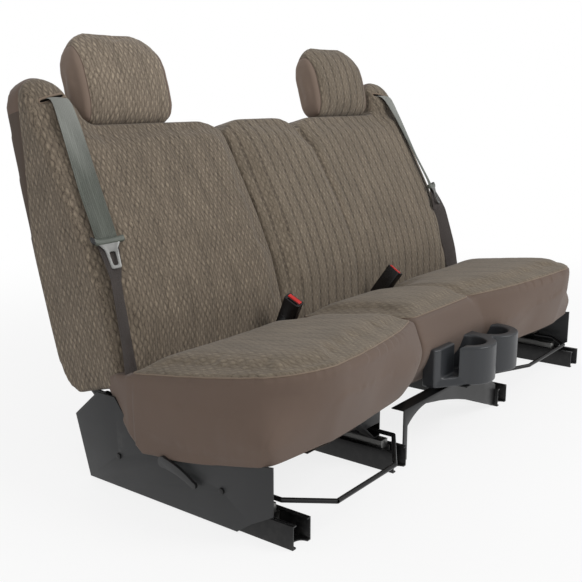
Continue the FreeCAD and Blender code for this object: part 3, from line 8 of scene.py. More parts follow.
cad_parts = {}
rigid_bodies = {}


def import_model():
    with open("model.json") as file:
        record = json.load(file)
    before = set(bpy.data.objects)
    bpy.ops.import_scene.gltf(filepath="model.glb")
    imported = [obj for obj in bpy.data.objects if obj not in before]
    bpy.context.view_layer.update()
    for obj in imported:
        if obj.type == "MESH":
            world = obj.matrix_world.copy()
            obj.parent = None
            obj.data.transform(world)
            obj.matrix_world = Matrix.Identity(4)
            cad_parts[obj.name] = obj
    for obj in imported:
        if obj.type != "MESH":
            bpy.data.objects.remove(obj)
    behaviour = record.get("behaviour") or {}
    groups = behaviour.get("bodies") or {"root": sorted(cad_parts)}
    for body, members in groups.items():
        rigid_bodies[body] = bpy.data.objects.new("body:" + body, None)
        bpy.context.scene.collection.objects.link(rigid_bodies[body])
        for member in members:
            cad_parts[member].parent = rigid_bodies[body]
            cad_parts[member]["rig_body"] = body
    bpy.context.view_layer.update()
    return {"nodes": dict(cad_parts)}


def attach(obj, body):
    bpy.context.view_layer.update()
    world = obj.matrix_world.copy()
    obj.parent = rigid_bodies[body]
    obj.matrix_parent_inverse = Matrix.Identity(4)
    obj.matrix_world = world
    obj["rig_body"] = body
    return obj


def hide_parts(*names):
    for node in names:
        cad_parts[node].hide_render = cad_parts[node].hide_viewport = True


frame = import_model()
nodes = frame["nodes"]
scene = bpy.context.scene
mm = 0.001

# the backs are shaped upright about their recline pivot, then leaned to rest
lean = {"pivotY": 0.235, "pivotZ": 0.180, "degrees": 15.8}
leaned = (Matrix.Translation((0, lean["pivotY"], lean["pivotZ"]))
          @ Matrix.Rotation(-math.radians(lean["degrees"]), 4, "X"))
sides = {"right": -1, "left": 1}
splitX = 162.3  # the halves meet this far to the right of the middle
splitGap = 0.6
ribWidth = 38
sectionX = 162  # how far the centre section reaches to the left


def tone(red, green, blue):
    # a display colour from 0 to 255 as the linear colour that a shader takes
    made = []
    for value in (red, green, blue):
        share = value / 255
        made.append(share / 12.92 if share <= 0.04045 else ((share + 0.055) / 1.055) ** 2.4)
    return (*made, 1.0)


def between(value, low, high):
    # 0 below low, 1 above high, and a smooth rise between them
    t = np.clip((value - low) / (high - low), 0, 1)
    return t * t * (3 - 2 * t)


def feed(tree, socket, value):
    # a socket takes a plain value, or what another socket gives
    if isinstance(value, bpy.types.NodeSocket):
        tree.links.new(value, socket)
    elif value is not None:
        socket.default_value = value


def addNode(tree, kind, inputs=None, **settings):
    node = tree.nodes.new(kind)
    for key, value in settings.items():
        setattr(node, key, value)
    for key, value in (inputs or {}).items():
        feed(tree, node.inputs[key], value)
    return node


def sums(tree, operation, *values):
    return addNode(tree, "ShaderNodeMath", dict(enumerate(values)), operation=operation).outputs[0]


def blendColours(tree, share, first, second, kind="MIX"):
    return addNode(tree, "ShaderNodeMix", {0: share, 6: first, 7: second}, data_type="RGBA",
                   blend_type=kind).outputs[2]


def newGroup(name, inputs, outputs):
    group = bpy.data.node_groups.new(name, "ShaderNodeTree")
    for label, kind, value in inputs:
        socket = group.interface.new_socket(label, in_out="INPUT", socket_type="NodeSocket" + kind)
        if value is not None:
            socket.default_value = value
    for label, kind in outputs:
        group.interface.new_socket(label, in_out="OUTPUT", socket_type="NodeSocket" + kind)
    start = addNode(group, "NodeGroupInput")
    end = addNode(group, "NodeGroupOutput")
    return group, start.outputs, end.inputs


def noiseOn(tree, vector, scale, detail=2.0, rough=0.5):
    return addNode(tree, "ShaderNodeTexNoise", {"Vector": vector, "Scale": scale, "Detail": detail,
                                                "Roughness": rough}).outputs["Fac"]


def stretched(tree, vector, scale):
    return addNode(tree, "ShaderNodeMapping", {"Vector": vector, "Scale": scale}).outputs["Vector"]


def ranged(tree, value, low, high, first=0.0, last=1.0):
    # the value carried smoothly from one range to another
    return addNode(tree, "ShaderNodeMapRange", {0: value, 1: low, 2: high, 3: first, 4: last},
                   interpolation_type="SMOOTHSTEP").outputs[0]


weave = {
    "column": 0.0076, "dash": 0.026, "rib": 0.038, "twist": 0.017, "twistStep": 2.4, "sway": 0.007,
    "swayGrain": (16, 30, 1), "unevenGrain": (70, 26, 1), "blotchGrain": (150, 60, 1),
    "threadGrain": (620, 190, 1), "shadeGrain": (26, 9, 1),
    # where each mask starts and ends, and its values there
    "uneven": (0.35, 0.65, 0.2, 0.85), "blotch": (0.38, 0.62, 0.25, 1.25), "shade": (0.3, 0.7, 0.88, 1.10),
    "raised": (0.55, 1.6), "sunk": (0.55, 0.0), "threadUp": (0.52, 0.80), "threadDown": (0.48, 0.22),
    "core": (0.0010, 0.0024, 1.0, 0.0), "side": (0.0008, 0.0060, 1.0, 0.0),
}


def makeTweedGroup():
    # Woven seat cloth: wavy lines that mirror each other with swollen yarn between them, over
    # fine threads, and a twisted cable line down the middle of each rib.
    group, given, result = newGroup("tweedWeave", [
        ("Place", "Vector", None),
        ("Yarn", "Color", tone(112, 100, 86)),
        ("Light yarn", "Color", tone(150, 138, 120)),
        ("Dark yarn and shade", "Color", tone(66, 57, 49)),
        ("Column width", "Float", weave["column"]),
        ("Dash pitch", "Float", weave["dash"]),
        ("Dashes", "Float", 1.0),
        ("Rib width", "Float", weave["rib"]),
        ("Cable", "Float", 0.8),
        ("Thread", "Float", 0.6),
    ], [("Colour", "Color"), ("Height", "Float")])

    def joined(operation, *values):
        return sums(group, operation, *values)

    def times(first, second):
        return sums(group, "MULTIPLY", first, second)

    def noise(grain, detail, rough=0.5):
        return noiseOn(group, stretched(group, given["Place"], grain), 1.0, detail, rough)

    def yarnAndShadeTint(colour, share, yarn):
        return blendColours(group, share, colour, given[yarn])

    split = addNode(group, "ShaderNodeSeparateXYZ", {0: given["Place"]}).outputs
    along = split[1]
    sway = joined("SUBTRACT", noise(weave["swayGrain"], 2.0), 0.5)
    across = joined("ADD", split[0], times(sway, weave["sway"]))
    # the wavy lines
    cell = joined("DIVIDE", across, given["Column width"])
    step = times(joined("DIVIDE", along, given["Dash pitch"]), math.tau)
    uneven = ranged(group, noise(weave["unevenGrain"], 1.0), *weave["uneven"])
    lines = joined("SINE", times(cell, math.pi))
    lines = joined("ABSOLUTE", joined("ADD", lines, times(joined("COSINE", step), uneven)))
    vivid = times(ranged(group, noise(weave["blotchGrain"], 3.0), *weave["blotch"]), given["Dashes"])
    raised = times(ranged(group, lines, *weave["raised"]), vivid)
    sunk = times(ranged(group, lines, *weave["sunk"]), vivid)
    # the cable line in the middle of each rib
    rib = joined("DIVIDE", across, given["Rib width"])
    away = times(joined("ABSOLUTE", joined("SUBTRACT", joined("FRACT", rib), 0.5)), given["Rib width"])
    core = times(ranged(group, away, *weave["core"]), given["Cable"])
    side = times(ranged(group, away, *weave["side"]), given["Cable"])
    twist = joined("SINE", joined("ADD", times(along, math.tau / weave["twist"]),
                                  times(joined("FLOOR", rib), weave["twistStep"])))
    twistUp = times(joined("MAXIMUM", twist, 0.0), core)
    twistDown = times(joined("MAXIMUM", times(twist, -1.0), 0.0), core)
    # fine threads and slow changes of shade
    thread = noise(weave["threadGrain"], 2.0, 0.6)
    colour = given["Yarn"]
    for limits, yarn in (("threadUp", "Light yarn"), ("threadDown", "Dark yarn and shade")):
        colour = yarnAndShadeTint(colour, times(ranged(group, thread, *weave[limits]), given["Thread"]), yarn)
    # the sunk yarn and the sides of each rib's groove are darkened as painted shade
    for mask, share, yarn in ((sunk, 0.7, "Dark yarn and shade"), (raised, 0.6, "Light yarn"), (side, 0.6, "Dark yarn and shade"),
                              (twistDown, 0.15, "Dark yarn and shade"), (twistUp, 0.3, "Light yarn")):
        colour = yarnAndShadeTint(colour, times(mask, share), yarn)
    soft = ranged(group, noise(weave["shadeGrain"], 3.0, 0.6), *weave["shade"])
    shade = addNode(group, "ShaderNodeCombineColor", {0: soft, 1: soft, 2: soft})
    colour = blendColours(group, 1.0, colour, shade.outputs[0], "MULTIPLY")
    group.links.new(colour, result["Colour"])
    height = joined("ADD", times(raised, 0.8), times(thread, 0.5))
    height = joined("SUBTRACT", height, times(sunk, 0.4))
    height = joined("ADD", height, times(times(twist, core), 0.2))
    group.links.new(joined("SUBTRACT", height, times(side, 0.5)), result["Height"])
    return group


def makeGrainGroup():
    # Moulded grain or fine cloth: a fine pattern, larger shade changes and a mask of them.
    group, given, result = newGroup("surfaceGrain", [
        ("Place", "Vector", None),
        ("Fine scale", "Float", 900.0),
        ("Broad scale", "Float", 9.0),
        ("Colour", "Color", (0.1, 0.1, 0.1, 1)),
        ("Second colour", "Color", (0.2, 0.2, 0.2, 1)),
        ("Variation", "Float", 0.3),
    ], [("Colour", "Color"), ("Height", "Float"), ("Mask", "Float")])
    fine = noiseOn(group, given["Place"], given["Fine scale"], 3.0)
    broad = noiseOn(group, given["Place"], given["Broad scale"], 5.0, 0.6)
    spread = ranged(group, broad, 0.32, 0.70)
    speck = sums(group, "MULTIPLY", sums(group, "SUBTRACT", fine, 0.5), given["Variation"])
    share = sums(group, "ADD", sums(group, "MULTIPLY", spread, given["Variation"]),
                 sums(group, "MULTIPLY", speck, 0.8))
    colour = blendColours(group, share, given["Colour"], given["Second colour"])
    for output, socket in (("Colour", colour), ("Height", fine), ("Mask", spread)):
        group.links.new(socket, result[output])
    return group


def makeWearGroup():
    # Rubbed edges, from how sharply the surface bends, broken up by noise.
    group, given, result = newGroup("edgeWear", [
        ("Place", "Vector", None),
        ("Amount", "Float", 0.5),
        ("Break up", "Float", 60.0),
    ], [("Mask", "Float")])
    bend = ranged(group, addNode(group, "ShaderNodeNewGeometry").outputs["Pointiness"], 0.53, 0.62)
    broken = ranged(group, noiseOn(group, given["Place"], given["Break up"], 4.0), 0.42, 0.62)
    mask = sums(group, "MULTIPLY", sums(group, "MULTIPLY", bend, broken), given["Amount"])
    group.links.new(sums(group, "MINIMUM", mask, 1.0), result["Mask"])
    return group


tweedWeave = makeTweedGroup()
surfaceGrain = makeGrainGroup()
edgeWear = makeWearGroup()


def startMaterial(name, **constants):
    material = bpy.data.materials.new(name)
    material.use_nodes = True
    tree = material.node_tree
    shader = tree.nodes["Principled BSDF"]
    for key, value in constants.items():
        shader.inputs[key].default_value = value
    return material, tree, shader.inputs


def bumpFrom(tree, shader, height, distance):
    bump = addNode(tree, "ShaderNodeBump", {"Strength": 1.0, "Distance": distance, "Height": height})
    tree.links.new(bump.outputs["Normal"], shader["Normal"])


def tweedCloth(name, yarn, lightYarn, darkYarnAndShade, dashes, cable, thread, relief):
    material, tree, shader = startMaterial(name, **{
        "Roughness": 0.92, "Specular IOR Level": 0.25, "Sheen Weight": 0.12, "Sheen Roughness": 0.5})
    place = addNode(tree, "ShaderNodeUVMap", uv_map="cloth").outputs[0]
    woven = addNode(tree, "ShaderNodeGroup", node_tree=tweedWeave, inputs={
        "Place": place, "Yarn": tone(*yarn), "Light yarn": tone(*lightYarn), "Dark yarn and shade": tone(*darkYarnAndShade),
        "Dashes": dashes, "Cable": cable, "Thread": thread}).outputs
    tree.links.new(woven["Colour"], shader["Base Color"])
    bumpFrom(tree, shader, woven["Height"], relief)
    return material


def grained(name, colour, second, variation, fine, broad, rough, relief, worn=None, metal=0.0,
            specular=0.5, sheen=0.0, coat=0.0):
    # moulded plastic, plain cloth, paint and bare metal all start from this
    material, tree, shader = startMaterial(name, **{
        "Metallic": metal, "Specular IOR Level": specular, "Sheen Weight": sheen, "Coat Weight": coat})
    place = addNode(tree, "ShaderNodeTexCoord").outputs["Object"]
    grain = addNode(tree, "ShaderNodeGroup", node_tree=surfaceGrain, inputs={
        "Place": place, "Fine scale": fine, "Broad scale": broad, "Colour": tone(*colour),
        "Second colour": tone(*second), "Variation": variation}).outputs
    mixed = grain["Colour"]
    if worn:
        amount, wornColour = worn
        rubbed = addNode(tree, "ShaderNodeGroup", node_tree=edgeWear,
                         inputs={"Place": place, "Amount": amount})
        mixed = blendColours(tree, rubbed.outputs["Mask"], mixed, tone(*wornColour))
    tree.links.new(mixed, shader["Base Color"])
    tree.links.new(ranged(tree, grain["Mask"], 0.0, 1.0, rough - 0.05, rough + 0.05), shader["Roughness"])
    bumpFrom(tree, shader, grain["Height"], relief)
    return material


# paintedSlotLight gives painted light near the slot and painted shade further down the belt
webbing = {"cord": 0.0042, "twill": 0.0022, "soilGrain": (30, 9, 1), "paintedSlotLight": (0.03, 0.30, 0.55, -0.25)}


def webbingCloth(name, colour, second):
    material, tree, shader = startMaterial(name, **{"Roughness": 0.6, "Sheen Weight": 0.1})
    place = addNode(tree, "ShaderNodeUVMap", uv_map="cloth").outputs[0]
    split = addNode(tree, "ShaderNodeSeparateXYZ", {0: place}).outputs
    across, along = split[0], split[1]

    def done(operation, *values):
        return sums(tree, operation, *values)

    cords = done("ABSOLUTE", done("SINE", done("MULTIPLY", across, math.pi / webbing["cord"])))
    fold = done("FRACT", done("DIVIDE", across, 2 * webbing["cord"]))
    fold = done("ABSOLUTE", done("SUBTRACT", fold, 0.5))
    twill = done("SINE", done("MULTIPLY", done("ADD", along, fold), math.tau / webbing["twill"]))
    height = done("ADD", cords, done("MULTIPLY", twill, 0.25))
    soil = noiseOn(tree, stretched(tree, place, webbing["soilGrain"]), 1.0, 4.0)
    share = done("MULTIPLY", done("ADD", soil, done("MULTIPLY", height, 0.3)), 0.5)
    # painted light and shade: lighter where it comes out of the slot, darker further down
    share = done("ADD", share, ranged(tree, along, *webbing["paintedSlotLight"]))
    mixed = blendColours(tree, done("MAXIMUM", share, 0.0), tone(*colour), tone(*second))
    tree.links.new(mixed, shader["Base Color"])
    bumpFrom(tree, shader, height, 0.0005)
    return material


print("materials")
# finish: material, yarn, light yarn, dark yarn and painted shade, dashes, cable, thread, relief
tweeds = {
    "tweedNear": ("tweedPlain", (112, 101, 88), (162, 148, 128), (56, 47, 40), 0.8, 0.2, 0.8, 0.0009),
    # a lighter copy of the near tweed: painted light on the near headrest
    "litTweedHead": ("litTweedHeadrest", (128, 116, 102), (182, 167, 146), (68, 58, 50), 0.8, 0.3, 0.8, 0.0009),
    "tweedFar": ("tweedRibbed", (117, 106, 92), (160, 147, 128), (66, 57, 49), 0.6, 1.0, 0.7, 0.0010),
    "tweedSeat": ("tweedSeat", (117, 106, 92), (154, 142, 123), (72, 62, 53), 0.55, 0.1, 0.6, 0.0007),
}
# finish: material, colour, second colour, variation, fine and broad grain, roughness, relief, extras
grains = {
    "plain": ("plainBrownCloth", (101, 85, 75), (112, 95, 84), 0.45, 1500, 4, 0.8, 0.0002,
              {"sheen": 0.12, "specular": 0.3}),
    # a darker copy of the plain cloth: painted shade on the rear band below the tower top
    "shadedRearCloth": ("shadedRearBrownCloth", (80, 69, 61), (92, 80, 71), 0.45, 1500, 4, 0.85, 0.0002,
                  {"sheen": 0.1, "specular": 0.25}),
    # a real cord for seam beads and slot lips, lighter than the cloth beside it as a painted highlight
    "highlightPiping": ("highlightPipingCloth", (134, 118, 102), (118, 102, 88), 0.4, 1600, 12, 0.75, 0.0002,
               {"sheen": 0.1, "specular": 0.3}),
    "backing": ("backingCloth", (58, 52, 48), (78, 70, 64), 0.6, 700, 8, 0.9, 0.0003, {"specular": 0.2}),
    "shield": ("shieldPlastic", (33, 34, 35), (40, 40, 41), 0.3, 1300, 3, 0.5, 0.0002,
               {"worn": (0.25, (84, 82, 80))}),
    "trim": ("trimPlastic", (30, 30, 31), (44, 43, 43), 0.4, 1600, 12, 0.42, 0.00015,
             {"worn": (0.3, (90, 88, 86))}),
    "cup": ("cupHolderPlastic", (48, 50, 53), (56, 58, 61), 0.25, 1400, 3, 0.36, 0.00006,
            {"worn": (0.3, (104, 108, 110))}),
    "buckle": ("bucklePlastic", (14, 12, 14), (26, 23, 25), 0.4, 1500, 20, 0.3, 0.0001,
               {"worn": (0.25, (80, 76, 76))}),
    "button": ("redButton", (214, 34, 26), (186, 24, 20), 0.5, 900, 40, 0.28, 0.00005, {"coat": 0.3}),
    "paint": ("blackTrackPaint", (13, 13, 14), (20, 19, 19), 0.35, 500, 5, 0.36, 0.0001,
              {"specular": 0.35, "worn": (0.2, (64, 62, 60))}),
    "steel": ("bareSteel", (124, 124, 122), (106, 104, 101), 0.3, 400, 5, 0.38, 0.00003, {"metal": 1.0}),
    "bright": ("brightSteel", (214, 214, 212), (180, 180, 178), 0.5, 600, 30, 0.2, 0.00003, {"metal": 1.0}),
    "tongueSteel": ("tongueSteel", (134, 134, 132), (120, 120, 118), 0.3, 700, 12, 0.5, 0.00003,
                    {"metal": 0.75}),
    "panel": ("headrestSideCloth", (124, 107, 95), (134, 117, 104), 0.45, 1500, 4, 0.8, 0.0002,
              {"sheen": 0.12, "specular": 0.3}),
    # a near-black cloth for the belt slot: painted shade inside the slot
    "hollow": ("slotHollowShade", (20, 18, 17), (28, 25, 23), 0.3, 900, 20, 0.9, 0.0002, {"specular": 0.1}),
    "grip": ("beltGripPlastic", (92, 97, 89), (80, 84, 78), 0.3, 1300, 20, 0.4, 0.00005, {}),
}
finishes = {
    **{finish: tweedCloth(*row) for finish, row in tweeds.items()},
    **{finish: grained(*row, **extras) for finish, (*row, extras) in grains.items()},
    "webbing": webbingCloth("beltWebbing", (84, 89, 80), (150, 152, 146)),
    # a darker brown copy of the webbing: painted shade on the belt below the tongue
    "shadedWebbing": webbingCloth("beltWebbingShaded", (54, 45, 41), (68, 58, 53)),
}


def ofKind(found, kind):
    return [each for each in found if isinstance(each, kind)]


def show(name, mesh):
    piece = bpy.data.objects.new(name, mesh)
    scene.collection.objects.link(piece)
    return piece


def stand(name, bm):
    mesh = bpy.data.meshes.new(name)
    bm.to_mesh(mesh)
    bm.free()
    return show(name, mesh)


def finalMesh(piece):
    bpy.context.view_layer.update()
    return bpy.data.meshes.new_from_object(piece.evaluated_get(bpy.context.evaluated_depsgraph_get()))


def settle(piece):
    # replaces a piece's mesh with what its modifiers make of it
    made = finalMesh(piece)
    piece.modifiers.clear()
    old = piece.data
    piece.data = made
    bpy.data.meshes.remove(old)


def perCorner(mesh, key):
    found = np.empty(len(mesh.vertices) * 3)
    mesh.vertices.foreach_get(key, found)
    return found.reshape(-1, 3)


def corners(mesh):
    return perCorner(mesh, "co")


def facing(mesh):
    return perCorner(mesh, "normal")


def setCorners(mesh, places):
    mesh.vertices.foreach_set("co", places.ravel())
    mesh.update()


def roundShade(mesh, degrees=None):
    mesh.polygons.foreach_set("use_smooth", [True] * len(mesh.polygons))
    if degrees:
        mesh.set_sharp_from_angle(angle=math.radians(degrees))
    mesh.update()


def wear(piece, *names):
    for name in names:
        piece.data.materials.append(finishes[name])


def onSide(path, sign):
    # a path drawn for the left half, turned over where it is used for the right one
    return [("by", p[1] * sign, p[2]) if p[0] == "by" else (p[0] * sign, p[1]) for p in path]


def walk(path, step):
    # Points along a path in millimetres. ("by", x, y) is the middle of an arc between its neighbours.
    stops = []
    arcs = {}
    for entry in path:
        if entry[0] == "by":
            arcs[len(stops) - 1] = np.array(entry[1:], float)
        else:
            stops.append(np.array(entry, float))
    found = []
    for i, start in enumerate(stops):
        end = stops[(i + 1) % len(stops)]
        if i not in arcs:
            count = max(1, int(np.linalg.norm(end - start) / step))
            found += [start + (end - start) * k / count for k in range(count)]
            continue
        middle = arcs[i]
        # centre of the circle through the three points
        a, b = start - middle, end - middle
        cross = 2 * (a[0] * b[1] - a[1] * b[0])
        centre = middle + np.array([b[1] * a.dot(a) - a[1] * b.dot(b),
                                    a[0] * b.dot(b) - b[0] * a.dot(a)]) / cross
        radius = np.linalg.norm(start - centre)
        first, halfway, last = (math.atan2(*(stop - centre)[::-1]) for stop in (start, middle, end))
        swing = (last - first) % math.tau
        if (halfway - first) % math.tau > swing:
            swing -= math.tau
        count = max(2, int(abs(swing) * radius / step))
        for k in range(count):
            angle = first + swing * k / count
            found.append(centre + radius * np.array([math.cos(angle), math.sin(angle)]))
    return np.array(found)


def rimDistance(points, outline):
    # distance from each point to a closed outline, both in the same plane
    best = np.full(len(points), 1e9)
    for a, b in zip(outline, np.roll(outline, -1, axis=0)):
        edge = b - a
        share = np.clip(((points - a) @ edge) / max(edge.dot(edge), 1e-12), 0, 1)
        best = np.minimum(best, np.linalg.norm(points - (a + share[:, None] * edge), axis=1))
    return best


def raiseFace(bm, face, keep=False):
    # draws a face out and gives the new one, to be moved into place
    return ofKind(bmesh.ops.extrude_face_region(bm, geom=[face], use_keep_orig=keep)["geom"],
                  bmesh.types.BMFace)[0]


def slab(outline):
    # a plate of the outline's shape, its front at y = 0 and its rear at y = 1 until they are shaped
    bm = bmesh.new()
    front = bm.faces.new([bm.verts.new((x * mm, 0, z * mm)) for x, z in outline])
    for vert in raiseFace(bm, front, True).verts:
        vert.co.y = 1.0
    return bm


def cutEvenly(bm, faces, axis, low, high, step):
    # crosses the given faces with cuts at even spacing, so that they can be shaped
    across = Vector([1.0 if i == axis else 0.0 for i in range(3)])
    count = int((high - low) / step)
    for k in range(1, count):
        place = across * (low + (high - low) * k / count)
        live = [f for f in faces if f.is_valid]
        geom = set(live)
        for face in live:
            geom.update(face.edges)
            geom.update(face.verts)
        made = bmesh.ops.bisect_plane(bm, geom=list(geom), dist=1e-6, plane_co=place, plane_no=across)
        faces = ofKind(made["geom"], bmesh.types.BMFace)
    return faces


def softSmooth(piece, times, loose=None):
    # smooths every point, or the ones that loose(places) picks
    bm = bmesh.new()
    bm.from_mesh(piece.data)
    picked = np.ones(len(bm.verts), bool) if loose is None else loose(corners(piece.data) / mm)
    verts = [v for v, chosen in zip(bm.verts, picked) if chosen]
    for _ in range(times):
        bmesh.ops.smooth_vert(bm, verts=verts, factor=0.5, use_axis_x=True, use_axis_y=True,
                              use_axis_z=True)
    bm.to_mesh(piece.data)
    bm.free()


def cutOnSurface(bm, plane, normal, shift=None):
    # Cuts a mesh along a plane, or along a curved surface where shift(places) is added first.
    if shift:
        for vert in bm.verts:
            vert.co += shift(vert.co)
    cut = bmesh.ops.bisect_plane(bm, geom=[*bm.verts, *bm.edges, *bm.faces], dist=1e-6,
                                 plane_co=plane, plane_no=normal)
    if shift:
        for vert in bm.verts:
            vert.co -= shift(vert.co)
    return ofKind(cut["geom_cut"], bmesh.types.BMEdge)


stuffing = {
    "quality": 4, "mass": 0.3, "tension_stiffness": 12, "compression_stiffness": 12,
    "shear_stiffness": 5, "bending_stiffness": 0.4, "use_pressure": True,
}
inwardHold = 0.92  # how much of the cloth's inward travel the foam takes away


def blowUp(piece, care, rest):
    # how far each point travels when the cloth is blown up for some frames
    cloth = piece.modifiers.new("stuffing", "CLOTH")
    for key, value in stuffing.items():
        setattr(cloth.settings, key, value)
    cloth.settings.uniform_pressure_force = care["pressure"]
    cloth.settings.effector_weights.gravity = 0
    cloth.point_cache.frame_start = 1
    cloth.point_cache.frame_end = care["frames"]
    for number in range(1, care["frames"] + 1):
        scene.frame_set(number)
    seen = piece.evaluated_get(bpy.context.evaluated_depsgraph_get())
    travel = corners(seen.data) - rest
    piece.modifiers.clear()
    scene.frame_set(1)
    return travel


def swell(piece, care, hold, loose=None):
    # Remeshes a soft form, inflates it as cloth over foam, and limits how far each point may go.
    remesh = piece.modifiers.new("even", "REMESH")
    remesh.mode = "VOXEL"
    remesh.voxel_size = care["voxel"]
    settle(piece)
    softSmooth(piece, 1)
    softSmooth(piece, care["rounding"], loose)
    rest = corners(piece.data)
    limit = hold(rest) * care["cap"]
    travel = blowUp(piece, care, rest)
    ways = facing(piece.data)
    inward = np.minimum(np.sum(travel * ways, axis=1), 0)
    travel -= ways * (inward * inwardHold)[:, None]
    length = np.linalg.norm(travel, axis=1)
    share = np.minimum(1.0, limit / np.maximum(length, 1e-9))
    moved = rest + travel * share[:, None]
    setCorners(piece.data, moved)
    softSmooth(piece, 1)
    finer = piece.modifiers.new("finer", "SUBSURF")
    finer.levels = finer.render_levels = 1
    settle(piece)
    roundShade(piece.data)


def clothMap(mesh, chart):
    # Lays the weave on each face by the way the face looks: chart gets face normals and corner places.
    normals = np.empty(len(mesh.polygons) * 3)
    mesh.polygons.foreach_get("normal", normals)
    totals = np.empty(len(mesh.polygons), int)
    mesh.polygons.foreach_get("loop_total", totals)
    owners = np.empty(len(mesh.loops), int)
    mesh.loops.foreach_get("vertex_index", owners)
    across, along = chart(np.repeat(normals.reshape(-1, 3), totals, axis=0), corners(mesh)[owners])
    layer = mesh.uv_layers.get("cloth") or mesh.uv_layers.new(name="cloth")
    layer.data.foreach_set("uv", np.stack([across, along], axis=1).ravel())


def pressIn(mesh, depth):
    # moves each point along its normal by depth(places, normals), inwards where positive
    places = corners(mesh)
    setCorners(mesh, places - facing(mesh) * depth(places, facing(mesh))[:, None])


def groove(distance, width, depth):
    return depth * np.exp(-(distance / width) ** 2)


def ribGroove(x, width, depth):
    return groove(np.abs((x / ribWidth) % 1 - 0.5) * ribWidth, width, depth)


def giveWall(piece, thickness, offset=-1):
    wall = piece.modifiers.new("wall", "SOLIDIFY")
    wall.thickness = thickness
    wall.offset = offset


def cordAlong(name, points, radius, finish, body):
    # a thin round cord on a closed line of points, such as piping or a stitched edge
    curve = bpy.data.curves.new(name, "CURVE")
    curve.dimensions = "3D"
    line = curve.splines.new("POLY")
    line.points.add(len(points) - 1)
    for point, place in zip(line.points, points):
        point.co = (*place, 1)
    line.use_cyclic_u = True
    curve.bevel_depth = radius
    curve.bevel_resolution = 2
    holder = show(name + "Line", curve)
    mesh = finalMesh(holder)
    bpy.data.objects.remove(holder)
    mesh.name = name
    piece = show(name, mesh)
    roundShade(mesh)
    wear(piece, finish)
    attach(piece, body)
    return piece


def edgeLoops(edges):
    # ordered loops of points from a set of cut edges
    links = {}
    for edge in edges:
        a, b = edge.verts
        links.setdefault(a, []).append(b)
        links.setdefault(b, []).append(a)
    loops = []
    left = set(links)
    while left:
        start = min(left, key=lambda v: (len(links[v]), *(round(axis, 5) for axis in v.co)))
        chain = [start]
        left.discard(start)
        while True:
            onward = [v for v in links[chain[-1]] if v in left]
            if not onward:
                break
            chain.append(onward[0])
            left.discard(onward[0])
        loops.append([v.co.copy() for v in chain])
    return loops


def evened(points, times=3):
    line = np.array([tuple(p) for p in points])
    for _ in range(times):
        line = 0.5 * line + 0.25 * (np.roll(line, 1, axis=0) + np.roll(line, -1, axis=0))
    return line


hardEdges = {"merge": 1e-5, "flatDegrees": 1.5, "sharpDegrees": 32, "shadeDegrees": 40}


def dressed(node, piece, finish, width, segments, slotName):
    # A copy of a hard CAD node with its loose triangles joined, flats cleaned and corners rounded.
    bm = bmesh.new()
    bm.from_mesh(nodes[node].data)
    bmesh.ops.remove_doubles(bm, verts=bm.verts, dist=hardEdges["merge"])
    flat, sharpFrom = math.radians(hardEdges["flatDegrees"]), math.radians(hardEdges["sharpDegrees"])
    bmesh.ops.dissolve_limit(bm, angle_limit=flat, verts=bm.verts, edges=bm.edges)
    sharp = [e for e in bm.edges if len(e.link_faces) == 2 and e.calc_face_angle(0) > sharpFrom]
    if width:
        bmesh.ops.bevel(bm, geom=sharp, offset=width, offset_type="OFFSET", segments=segments,
                        profile=0.5, affect="EDGES", clamp_overlap=True, material=-1)
    bmesh.ops.recalc_face_normals(bm, faces=bm.faces)
    made = stand(piece, bm)
    roundShade(made.data, hardEdges["shadeDegrees"])
    wear(made, finish)
    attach(made, nodes[node]["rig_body"])
    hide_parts(node)
    return made


print("cushions")
cushion = {
    "voxel": 0.0068, "rounding": 3, "pressure": 4.0, "frames": 20, "cap": 0.012,
    "side": 757, "rear": 144, "centreFront": 194, "floors": (140, 165, 190, 215, 240, 258),
    "base": 100, "seamRear": 265.5, "seamSlope": 0.142, "crown": 20, "crownReach": 120,
    "tuck": 46, "tuckTop": 290, "tuckBase": 110,
    "bulge": 42, "bulgeInner": 210, "bulgeOuter": 430, "ribDepth": 0.0006, "clothWall": 0.0025,
    "underside": 0.1545, "undersideWall": 0.0015, "step": 11, "grid": 0.02, "frontTuck": (30, 190),
    # in millimetres, from where the cloth is held to where it is free
    "freeTop": (240, 300), "freeInner": (4, 45), "freeRear": (4, 40), "freeBuckle": (45, 80), "buckleY": 135,
}
bulgeLine = [(130, 0.35), (165, 0.6), (200, 1), (245, 1), (300, 0)]
hem = {
    "bridgeLift": 10, "bridgeSide": (290, 360), "bridgeFront": (-150, -120),
    "cornerX": 600, "cornerY": -100, "reachX": 157, "reachY": 146, "square": 7,
    "side": 762, "sideLevels": (105, 190), "low": (-285, -185), "widest": 1.25,
}
hemLine = np.array([(-250, 161), (-160, 142), (-90, 127), (0, 113), (99, 104), (172, 163), (240, 230)], float)
buckleNotch = {"right": (202, 258), "left": (180, 236), "front": 78}
flap = {
    "path": [(80, 95), (104, 95), ("by", 158, 140), (200, 196), ("by", 222, 220), (228, 242), (214, 256),
             (80, 268)],
    "thick": 0.034, "curl": 0.012, "curlFrom": 120, "curlReach": 94,
}


def lineAt(line, place):
    return np.interp(place, line[:, 0], line[:, 1])


def planPath(name):
    sign = sides[name]
    rear, front = cushion["rear"], buckleNotch["front"]
    low, high = buckleNotch[name]
    inner = splitX if sign < 0 else splitGap - splitX
    path = [(inner, rear), (inner, -cushion["centreFront"])]
    if sign > 0:
        path.append((sectionX, -cushion["centreFront"]))
    path += [("by", 350, -257), (560, -284), ("by", 655, -265), (721, -198), ("by", 748, -88),
             (cushion["side"] - 1, 20), (cushion["side"] - 1, rear),
             (high, rear), (high, front), (low, front), (low, rear)]
    return onSide(path, sign)


